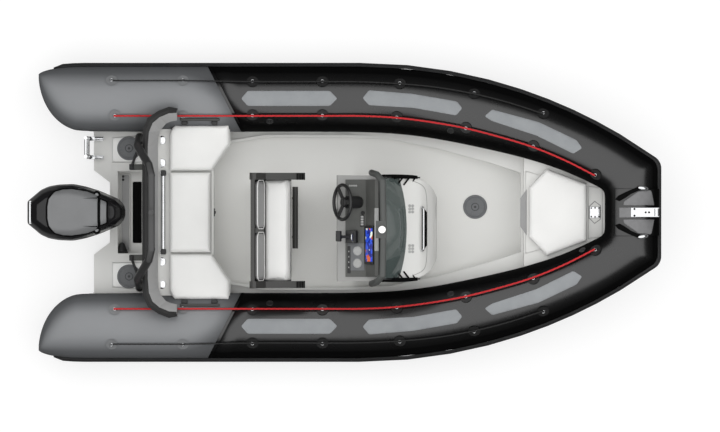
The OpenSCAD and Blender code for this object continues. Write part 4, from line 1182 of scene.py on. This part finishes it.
# ------------------------------------------------------------------ helm seat
# A moulded box with a dark grey frame over it: two side arms and a leaning back with
# a pair of rounded windows, each filled with a grey pad, and one long white cushion.
eased_piece("helm_seat_base", gelcoat, 0.018, 3)
frame_paint = Finish("seat_frame_paint", Specular_IOR_Level=0.45)
frame_paint.mottled(tint(50, 50, 49), tint(60, 60, 58), (10.0, 4.0), (0.38, 0.52))
frame_paint.grained(420.0, 0.0002, 0.4)
eased_piece("helm_seat_frame", frame_paint, 0.007, 3)
eased_piece("helm_footrest", frame_paint, 0.010, 3)
arm_ends = bmesh.new()
for y in (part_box("helm_seat_frame")[0].y + 0.030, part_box("helm_seat_frame")[1].y - 0.030):
    for k in range(5):
        x = -0.424 + 0.015 * k
        top = spot_on(["helm_seat_frame"], x, y)[0].z
        block(arm_ends, (x - 0.0055, y - 0.030, top - 0.012), (x + 0.0055, y + 0.030, top + 0.006), 0.002, 2)
make_piece(arm_ends, "helm_arm_grips", deep_black)

helm_cushion = stuffed(merged_copy("helm_seat_cushion"), "helm_seat_cushion_cover", white_vinyl, "boat",
                       "helm_seat_cushion", cap=0.008)
seat_low, seat_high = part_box("helm_seat_cushion")
stitch_aft, stitch_front = seat_low.x + 0.020, seat_high.x - 0.055
stitch_right, stitch_left = seat_low.y + 0.020, seat_high.y - 0.020
stitched("helm_seat_stitches", helm_cushion, [(stitch_aft, stitch_right), (stitch_aft, stitch_left),
                                              (stitch_front, stitch_left), (stitch_front, stitch_right)], "boat")

# Each back pad is a rounded panel that leans with the frame, thicker at its foot,
# with a pale piping sewn round its front edge
pad_low, pad_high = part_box("helm_seat_pads")
pad_foot, pad_head = Vector((pad_high.x, 0, pad_low.z)), Vector((pad_low.x + 0.023, 0, pad_high.z))
pad_lean = (pad_head - pad_foot).normalized()
pad_front = pad_lean.cross(Vector((0, 1, 0))) * -1
pad_middle = (pad_foot + pad_head) / 2
pad_half_width = (pad_high.y - pad_low.y) / 4 - 0.012
pad_half_height = (pad_head - pad_foot).length / 2
PAD_CORNER, CORNER_STEPS = 0.055, 6
PAD_THIN, PAD_THICKENING = 0.018, 0.042


def pad_outline(grown=0.0):
    """A rounded rectangle in the pad's own plane."""
    points = []
    for turn, (across, up) in enumerate(((1, 1), (-1, 1), (-1, -1), (1, -1))):
        for k in range(CORNER_STEPS + 1):
            angle = math.radians(90) * (turn + k / CORNER_STEPS)
            points.append(((pad_half_width - PAD_CORNER) * across + (PAD_CORNER + grown) * math.cos(angle),
                           (pad_half_height - PAD_CORNER) * up + (PAD_CORNER + grown) * math.sin(angle)))
    return points


for way, side_name in SIDES:
    centre_y = (pad_low.y + pad_high.y) / 2 + way * ((pad_high.y - pad_low.y) / 4 + 0.006)
    middle = pad_middle + Vector((0, centre_y, 0))
    panel_shape = bmesh.new()
    front = [panel_shape.verts.new(middle + Vector((0, u, 0)) + pad_lean * v) for u, v in pad_outline()]
    depths = [PAD_THIN + (0.5 - 0.5 * v / pad_half_height) * PAD_THICKENING for _, v in pad_outline()]
    back = [panel_shape.verts.new(vert.co - pad_front * depth) for vert, depth in zip(front, depths)]
    panel_shape.faces.new(front)
    panel_shape.faces.new(list(reversed(back)))
    for i in range(len(front)):
        j = (i + 1) % len(front)
        panel_shape.faces.new((front[j], front[i], back[i], back[j]))
    stuffed(panel_shape, "helm_seat_pad_" + side_name, grey_vinyl, "boat",
            "helm_seat_pads" if way == 1 else (), cap=0.006, voxel=0.006, down=-pad_front)
    piping = bmesh.new()
    line = [middle + Vector((0, u, 0)) + pad_lean * v + pad_front * 0.001 for u, v in pad_outline(0.003)]
    places = []
    for i, point in enumerate(line):
        ahead = (line[(i + 1) % len(line)] - line[i - 1]).normalized()
        places.append(turned_to(point, pad_front, ahead.cross(pad_front), ahead))
    tube_through(piping, places, 8, 0.0045, closed=True)
    make_piece(piping, "helm_seat_piping_" + side_name, white_vinyl, smooth=80, outward=True)

# ------------------------------------------------------------------ stern bench
# A moulded bench across the stern, with a lid over its locker, three near-white
# cushions and a wrap-round back: dark padding on top, a pale grey face in front.
eased_piece("bench_base", gelcoat, 0.014, 3)
eased_piece("bench_lid", gelcoat, 0.004, 2, "bench_lid")
middle_cushion = stuffed(merged_copy("bench_cushion"), "bench_cushion_cover", white_vinyl, "bench_lid",
                         "bench_cushion", cap=0.007)
MIDDLE_CUSHION = [(-1.516, -0.343), (-1.160, -0.343), (-1.160, 0.343), (-1.516, 0.343)]
stitched("bench_cushion_stitches", middle_cushion, inset_outline(MIDDLE_CUSHION, 0.026), "bench_lid")


def loose_parts(shape):
    """The separate closed shells in a bmesh, each as a bmesh of its own."""
    left, parts = set(shape.faces), []
    while left:
        group, reach = set(), [next(iter(left))]
        while reach:
            face = reach.pop()
            if face in group:
                continue
            group.add(face)
            reach += [other for edge in face.edges for other in edge.link_faces if other not in group]
        part = shape.copy()
        part.faces.ensure_lookup_table()
        keep = {face.index for face in group}
        bmesh.ops.delete(part, geom=[f for f in part.faces if f.index not in keep], context="FACES")
        parts.append(part)
        left -= group
    return parts


def round_upright_corners(shape, radius, here):
    """Rounds the upright edges of a moulding where here(x, y) holds."""
    upright = [e for e in shape.edges if e.calc_length() > 0.02 and here(e.verts[0].co.x, e.verts[0].co.y)
               and abs(e.verts[0].co.z - e.verts[1].co.z) > 0.98 * e.calc_length() and e.calc_face_angle(0) > 0.2]
    bmesh.ops.bevel(shape, geom=upright, offset=radius, segments=6, profile=0.5, affect="EDGES", material=-1)


def lean_to_port(part):
    """Below 0 for the starboard cushion, above 0 for the port one."""
    return sum(v.co.y for v in part.verts)


CORNER_CUSHION = [(-1.516, 0.352), (-1.516, 0.700), (-1.470, 0.742), (-1.004, 0.742), (-0.997, 0.580),
                  (-1.150, 0.352)]
for part in sorted(loose_parts(merged_copy("bench_corner_cushions")), key=lean_to_port):
    way = 1 if lean_to_port(part) > 0 else -1
    side_name = "port" if way > 0 else "starboard"
    round_upright_corners(part, 0.045, lambda x, y: x < -1.45 and abs(y) > 0.5)
    cushion = stuffed(part, "bench_corner_cushion_" + side_name, white_vinyl, "boat",
                      "bench_corner_cushions", cap=0.006)
    stitch_line = [(x, y * way) for x, y in inset_outline(CORNER_CUSHION, 0.028)]
    stitched("bench_corner_stitches_" + side_name, cushion, stitch_line, "boat")


def padding(name, dark, pale):
    """Foam under a pored cover."""
    cover = Finish(name, Specular_IOR_Level=0.35)
    cover.mottled(dark, pale, (6.0, 3.0), (0.46, 0.60))
    return pored(cover, 40.0, 0.0005, 0.4)


dark_pad = padding("dark_padding", tint(40, 40, 40), tint(50, 50, 50))
pale_pad = padding("pale_padding", tint(160, 160, 160), tint(172, 172, 172))
backrest = eased_piece("bench_backrest", [dark_pad, pale_pad], 0.012, 4, angle=24)
SITTER_X, FACE_FOOT, FACE_HEAD = -1.20, 0.42, 0.72
for face in backrest.data.polygons:
    inward = Vector((SITTER_X - face.center.x, -face.center.y, 0))
    if face.normal.dot(inward.normalized()) > 0.35 and FACE_FOOT < face.center.z < FACE_HEAD:
        face.material_index = 1
eased_piece("bench_tube", steel, 0.004, 3)

# Front edge catch of the locker, and the small grab rails on the tubes beside each cushion
catch = block(bmesh.new(), (-1.140, -0.034, 0.352), (-1.128, 0.034, 0.392), 0.004, 2)
turned(catch, [(0.012, 0), (0.012, 0.004), (0.009, 0.007), (0.0, 0.007)], 24,
       (-1.128, 0, 0.372), (1, 0, 0), (0, 0, 1))
make_piece(catch, "bench_locker_catch", textured_black)
for side, side_name in SIDES:
    handle, feet = bmesh.new(), bmesh.new()
    for x in (-1.385, -1.130):
        foot = skin_under(x, side * 0.762)[0]
        block(feet, (foot.x - 0.026, foot.y - 0.020, foot.z - 0.006),
              (foot.x + 0.026, foot.y + 0.020, foot.z + 0.026), 0.008, 3)
    low = skin_under(-1.25, side * 0.787)[0]
    block(handle, (-1.424, low.y - 0.012, low.z + 0.016), (-1.084, low.y + 0.012, low.z + 0.034), 0.008, 3)
    make_piece(handle, "tube_grab_rail_" + side_name, frame_paint)
    make_piece(feet, "tube_grab_feet_" + side_name, textured_black)

# Half-round stainless deck fittings let into the shell behind each corner cushion
fittings = bmesh.new()
for way in (1, -1):
    for y in (0.614, 0.420):
        half = turned(bmesh.new(), [(0.037, -0.004), (0.037, 0.001), (0.034, 0.0035), (0.020, 0.005),
                                    (0.0, 0.0055)], 32)
        slice_at(half, (-0.010, 0, 0), (1, 0, 0), clear_inner=True)
        bmesh.ops.holes_fill(half, edges=[e for e in half.edges if len(e.link_faces) < 2])
        shelf = spot_on(["bench_base"], -1.560, y * way)[0].z
        join_into(fittings, moved(half, -1.580, y * way, shelf))
make_piece(fittings, "bench_stainless_fittings", steel)
tube_ends = bmesh.new()
for way in (1, -1):
    block(tube_ends, (-1.592, way * 0.334 - 0.024, 0.411), (-1.542, way * 0.334 + 0.024, 0.464), 0.007, 3)
make_piece(tube_ends, "bench_tube_ends", textured_black)

# ------------------------------------------------------------------ ski mast
# A flattened aluminium tube in grey paint, bent up from a foot on each platform to a
# crossbar over the backrest, with a tow knob in the middle.
mast_paint = Finish("mast_paint", Specular_IOR_Level=0.45)
satin = mast_paint.noise(9.0, 4.0)
# Paint lighter where the tube faces up and darker down its sides: a painted highlight on top, painted shade on the
# flanks
mast_painted_light_mask = mast_paint.facing(2) > 0.72
painted_light_tone = mast_paint.mix(satin, tint(60, 60, 60), tint(68, 68, 68))
mast_paint.feed("Base Color", mast_paint.mix(mast_painted_light_mask, tint(40, 40, 40), painted_light_tone))
mast_paint.feed("Roughness", mast_paint.between(satin, 0.36, 0.50))
mast_paint.grained(420.0, 0.0002, 0.4)
eased_piece("ski_mast", mast_paint, 0.004, 2, angle=40)
struts = bmesh.new()
for way in (1, -1):
    start, end = Vector((-1.780, way * 0.560, 0.262)), Vector((-1.842, way * 0.392, 0.236))
    ahead = (end - start).normalized()
    across = ahead.cross(Vector((0, 0, 1))).normalized()
    bmesh.ops.create_cone(struts, cap_ends=True, segments=20, radius1=0.011, radius2=0.011,
                          depth=(end - start).length,
                          matrix=turned_to((start + end) / 2, across, ahead.cross(across), ahead))
    block(struts, (-1.862, way * 0.388 - 0.024, 0.226), (-1.822, way * 0.388 + 0.024, 0.242), 0.004, 2)
make_piece(struts, "ski_mast_struts", textured_black)

# ------------------------------------------------------------------ splash well
# The well ahead of the engine notch: a near-black block in its drained recess, a grey sheet that makes its floor
# darker, a moulded rim, the rigging boot, drain fittings and a dark tread pad each side.
WELL_FLOOR = 0.126
well = block(bmesh.new(), (-1.8355, -0.2615, 0.0975), (-1.7555, 0.2615, 0.121), 0.012, 3)
make_piece(well, "splash_well_recess", deep_black)
mat = block(bmesh.new(), (-1.9385, -0.330, 0.1254), (-1.8565, 0.330, 0.1274), 0.0009, 2)
make_piece(mat, "splash_well_floor_grey", pale_pad)
rim = plan_of([(-1.948, -0.338), (-1.948, 0.338), (-1.846, 0.338), (-1.846, -0.338)])
round_outline(rim, 0.03, 5)
inner_face = stepped(rim, 0.010, 0.008)
stepped(rim, 0.010, -0.008)
bmesh.ops.delete(rim, geom=[inner_face], context="FACES_ONLY")
make_piece(moved(rim, 0, 0, WELL_FLOOR), "splash_well_rim", gelcoat)
boot_rows = [(0.052, 0.0)]
for k in range(5):
    boot_rows += [(0.050 - k * 0.006, 0.012 + k * 0.016), (0.044 - k * 0.006, 0.020 + k * 0.016)]
boot = turned(bmesh.new(), boot_rows + [(0.0, 0.094)], 32, (-1.925, -0.348, 0.180), (0, 1, 0), (1, 0, 0))
make_piece(boot, "rigging_boot", textured_black)
drains = bmesh.new()
for x, y in ((-1.917, 0.306), (-1.917, 0.279)):
    turned(drains, [(0.011, 0.0), (0.011, 0.004), (0.007, 0.005), (0.006, 0.002), (0.0, 0.002)], 20,
           (x, y, WELL_FLOOR))
make_piece(drains, "splash_well_drains", textured_black)
side_pads = bmesh.new()
for way in (1, -1):
    block(side_pads, (-1.856, way * 0.386 - 0.025, 0.2252), (-1.742, way * 0.386 + 0.025, 0.230), 0.002, 2)
make_piece(side_pads, "platform_tread_pads", dash_plastic)

# Pale moulded treads on the raised part of each platform, paler than the deck: painted light that makes up for the
# tubes' shade there
TREAD_TOP = 0.2372
treads = bmesh.new()
for way in (1, -1):
    tread_top = plan_of([(-2.000, way * 0.434), (-1.755, way * 0.434), (-1.755, way * 0.650),
                         (-2.000, way * 0.631)])
    round_outline(tread_top, 0.02, 4)
    stepped(tread_top, 0.003, 0.0012)
    join_into(treads, moved(tread_top, 0, 0, TREAD_TOP))
platform_painted_light = Finish("platform_painted_light_gelcoat", Specular_IOR_Level=0.4)
platform_painted_light.mottled(tint(240, 240, 238), tint(248, 248, 246), (3.0, 3.0), (0.42, 0.55), (50.0, 2.0))
make_piece(treads, "platform_panels", platform_painted_light)

# ------------------------------------------------------------------ swim ladder
# Stainless tubes with black pivots, folded up against the port platform's edge.
bracket_low, bracket_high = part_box("ladder_brackets")
RAIL_INSET, PIVOT_DROP = 0.020, 0.014
height = bracket_high.z - PIVOT_DROP
sleeves, pivots = bmesh.new(), bmesh.new()
for y in (bracket_low.y + RAIL_INSET, bracket_high.y - RAIL_INSET):
    block(sleeves, (bracket_low.x + 0.010, y - 0.017, bracket_low.z),
          (bracket_high.x, y + 0.017, bracket_low.z + 0.006), 0.002, 2)
    turned(sleeves, [(0.0, 0.0), (0.013, 0.0), (0.014, 0.002), (0.014, 0.070), (0.012, 0.073), (0.0, 0.073)], 24,
           (bracket_high.x - 0.075, y, height), (1, 0, 0), (0, 0, 1))
    turned(pivots, [(0.0, 0.0), (0.015, 0.0), (0.016, 0.002), (0.016, 0.030), (0.014, 0.032), (0.0, 0.032)], 24,
           (bracket_low.x + 0.002, y, height), (1, 0, 0), (0, 0, 1))
make_piece(sleeves, "ladder_sleeves", steel, stands_for="ladder_brackets")
make_piece(pivots, "ladder_pivots", textured_black)
eased_piece("ladder", steel, 0.003, 3, "ladder")

# ------------------------------------------------------------------ outboard
# Clamp and swivel brackets of painted cast aluminium, a painted leg and gearcase, a
# three-bladed propeller, and a glossy black cowling with a grey panel let into its top.
bracket_paint = Finish("bracket_paint", Metallic=0.35, Specular_IOR_Level=0.5)
bracket_paint.mottled((0.065, 0.066, 0.070), (0.10, 0.10, 0.105), (45.0, 4.0), (0.34, 0.52))
bracket_paint.grained(160.0, 0.0004, 0.3, detail=3.0)
engine_paint = Finish("engine_paint", Metallic=0.2, Specular_IOR_Level=0.5, Coat_Roughness=0.1)
cast = engine_paint.mottled((0.018, 0.019, 0.020), (0.030, 0.031, 0.033), (20.0, 4.0), (0.26, 0.40))
engine_paint.feed("Coat Weight", engine_paint.between(cast, 0.2, 0.4))
eased_piece("clamp_bracket", bracket_paint, 0.005, 3)
eased_piece("swivel_bracket", bracket_paint, 0.004, 3, "tilt_frame")
eased_piece("engine_leg", engine_paint, 0.010, 3, "outboard")
eased_piece("gearcase", engine_paint, 0.003, 2, "outboard", angle=38)
eased_piece("propeller", engine_paint, 0.002, 2, "propeller")
block_paint = Finish("engine_block_paint", Metallic=0.6, Roughness=0.5)
cast = block_paint.noise(20.0, 4.0)
block_paint.feed("Base Color", block_paint.mix(cast, (0.12, 0.12, 0.125), (0.2, 0.2, 0.205)))
eased_piece("engine_block", block_paint, 0.012, 3, "outboard")

cowl_black = Finish("cowling_black", Specular_IOR_Level=0.34, Coat_Roughness=0.05)
polish = cowl_black.mottled((0.006, 0.006, 0.0065), (0.011, 0.011, 0.012), (3.0, 3.0), (0.16, 0.26), (40.0, 3.0))
cowl_black.feed("Coat Weight", cowl_black.between(polish, 0.06, 0.14))
cowl_black.grained(90.0, 0.0002, 0.15, detail=1.0)

# Its skin is remeshed and smoothed, so that its flats run into each other as a moulding's do
cowl_skin = relaxed(remeshed(merged_copy("cowling"), 0.009), 9)
cowl_tree = BVHTree.FromBMesh(cowl_skin)
make_piece(cowl_skin, "cowling_finished", cowl_black, "outboard", 60, "cowling")
cowl_grey = Finish("cowling_grey_panel", Specular_IOR_Level=0.45)
cowl_grey.mottled(tint(106, 107, 108), tint(118, 119, 120), (8.0, 4.0), (0.34, 0.46), (60.0, 2.0))
cowl_grey.grained(500.0, 0.00015, 0.4)


def cowl_under(x, y):
    """Where a plumb line at x, y meets the cowling, and which way it faces there."""
    place, up, _, _ = cowl_tree.ray_cast(Vector((x, y, 3)), Vector((0, 0, -1)))
    return place, up


def lay_on_cowl(shape):
    """Drops a piece drawn in plan on to the cowling's top."""
    for vert in shape.verts:
        place, up = cowl_under(vert.co.x, vert.co.y)
        vert.co = place + up * vert.co.z


def panel(outline, round_by, height, margin=0.0):
    """A thin raised panel with a small chamfer, its outline grown by a margin, cut fine enough to bend."""
    shape = plan_of(outline)
    if margin:
        inner = stepped(shape, -margin, 0.0)
        bmesh.ops.delete(shape, geom=[f for f in shape.faces if f != inner], context="FACES")
    if round_by:
        round_outline(shape, round_by, 4)
    stepped(shape, 0.004, height)
    cut_across(shape, 0.015, 3.0)
    return shape


# The grey top panel and the strip ahead of it, each over a slightly larger black one, with a tapered deep black
# strip each side as painted shade for a groove, round catches with grey caps as painted highlights, and a steel
# strip aft as a painted highlight
TOP_PANEL = mirrored([(-2.533, 0.050), (-2.520, 0.115), (-2.470, 0.172), (-2.400, 0.192), (-2.330, 0.195),
                      (-2.200, 0.174), (-2.125, 0.146), (-2.107, 0.120)])
STRIP = mirrored([(-2.088, 0.108), (-2.034, 0.086)])
top_panel, surround, groove_shade_strips = bmesh.new(), bmesh.new(), bmesh.new()
for outline in (TOP_PANEL, STRIP):
    join_into(top_panel, panel(outline, 0.010, 0.0075))
    join_into(surround, panel(outline, 0.010, 0.0045, margin=0.013))
# The grooves are raised deep black strips: painted shade where a groove would be
for way in (1, -1):
    join_into(groove_shade_strips, panel([(-2.330, 0.1150 * way), (-2.110, 0.1230 * way), (-2.110, 0.1080 * way)], 0, 0.0095))
for piece in (top_panel, surround, groove_shade_strips):
    lay_on_cowl(piece)
make_piece(top_panel, "cowling_top_panels", cowl_grey, "outboard", 60)
make_piece(surround, "cowling_panel_surround", deep_black, "outboard", 60)
make_piece(groove_shade_strips, "cowling_groove_shade", deep_black, "outboard", 60)
# Each catch is a deep black knob; the grey cap in its middle is a painted highlight
knobs, catch_highlight_caps = bmesh.new(), bmesh.new()
for y in (0.148, -0.150):
    place = cowl_under(-2.117, y)[0]
    turned(knobs, [(0.034, -0.016), (0.034, 0.012), (0.030, 0.018), (0.022, 0.018), (0.020, 0.014),
                   (0.0, 0.014)], 28, place)
    turned(catch_highlight_caps, [(0.015, 0.014), (0.015, 0.019), (0.011, 0.022), (0.0, 0.022)], 24, place)
make_piece(knobs, "cowling_catches", deep_black, "outboard")
make_piece(catch_highlight_caps, "cowling_catch_highlights", rubber_grey, "outboard")
# Steel blocks along the top of the cowl's aft edge: a painted highlight on that edge
edge_highlight_strip = bmesh.new()
aft_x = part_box("cowling")[0].x
for k in range(12):
    y = -0.088 + 0.016 * k
    top = cowl_under(aft_x + 0.034, y)[0].z
    block(edge_highlight_strip, (aft_x + 0.024, y - 0.0082, top - 0.012), (aft_x + 0.042, y + 0.0082, top + 0.004), 0.002, 2)
make_piece(edge_highlight_strip, "cowling_edge_highlight", steel, "outboard")

# ------------------------------------------------------------------ seams, valves and bow lights
# Glued tape over the joins of the tube sleeves, screw-in inflation valves, and the
# two navigation lights on black brackets beside the bow step.
def seam_tape(name, at, square_to, half_width):
    """A band of the black tubes' own skin, lifted a little, where two sleeves are joined."""
    graph = bpy.context.evaluated_depsgraph_get()
    band = bmesh.new()
    band.from_mesh(tube_pieces["black_tubes"].evaluated_get(graph).data)
    square_to = Vector(square_to).normalized()
    for way in (1, -1):
        slice_at(band, Vector(at) + square_to * half_width * way, square_to * way, clear_outer=True)
    bmesh.ops.delete(band, geom=[f for f in band.faces if abs(f.normal.dot(square_to)) > 0.8], context="FACES")
    band.normal_update()
    for vert in band.verts:
        vert.co += vert.normal * 0.0013
    make_piece(band, name, black_fabric, smooth=60)


JOIN_X, JOIN_TURN, TUBE_OUT = -1.047, math.radians(27.26), 0.965
for side, side_name in SIDES:
    seam_tape("seam_tape_black_" + side_name, (JOIN_X, side * TUBE_OUT, 0.3),
              (math.cos(JOIN_TURN), side * math.sin(JOIN_TURN), 0), 0.024)

valves = bmesh.new()
for x, y in ((-0.660, 0.772), (0.874, 0.692), (-0.660, -0.772), (0.874, -0.692), (1.990, -0.319)):
    cap = turned(bmesh.new(), [(0.030, -0.002), (0.030, 0.003), (0.026, 0.006), (0.020, 0.006), (0.018, 0.003),
                               (0.0, 0.003)], 32)
    for k in range(3):
        angle = k * math.tau / 3
        turned(cap, [(0.0045, 0.002), (0.0045, 0.006), (0.003, 0.0075), (0.0, 0.0075)], 12,
               (0.010 * math.cos(angle), 0.010 * math.sin(angle), 0))
    lay_flat_piece(cap, x, y)
    join_into(valves, cap)
make_piece(valves, "inflation_valves", textured_black)

BRACKET = [(2.262, 0.107), (2.290, 0.142), (2.350, 0.172), (2.400, 0.194), (2.450, 0.212), (2.500, 0.216),
           (2.530, 0.205), (2.510, 0.192), (2.450, 0.178), (2.395, 0.154), (2.345, 0.119), (2.300, 0.094)]
brackets, lights = bmesh.new(), bmesh.new()
for way in (1, -1):
    arm = plan_of([(x, y * way) for x, y in BRACKET])
    stepped(arm, 0.004, 0.014)
    cut_across(arm, 0.02, 2.7)
    join_into(brackets, arm)
    for x, y in ((2.355, 0.150), (2.425, 0.184)):
        turned(brackets, [(0.011, 0.012), (0.011, 0.017), (0.007, 0.019), (0.0, 0.019)], 20, (x, y * way, 0))
    lamp = bmesh.new()
    bmesh.ops.create_uvsphere(lamp, u_segments=28, v_segments=14, radius=1.0)
    place = Matrix.Translation((2.492, 0.204 * way, 0.016)) @ Matrix.Rotation(-0.18 * way, 4, "Z")
    bmesh.ops.transform(lamp, verts=lamp.verts, matrix=place @ Matrix.Diagonal((0.042, 0.019, 0.016, 1)))
    join_into(lights, lamp)
bend_over_bow(brackets)
bend_over_bow(lights)
make_piece(brackets, "bow_light_brackets", deep_black, smooth=50)
make_piece(lights, "bow_lights", steel, smooth=80)

# ------------------------------------------------------------------ sizes and end
low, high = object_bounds()
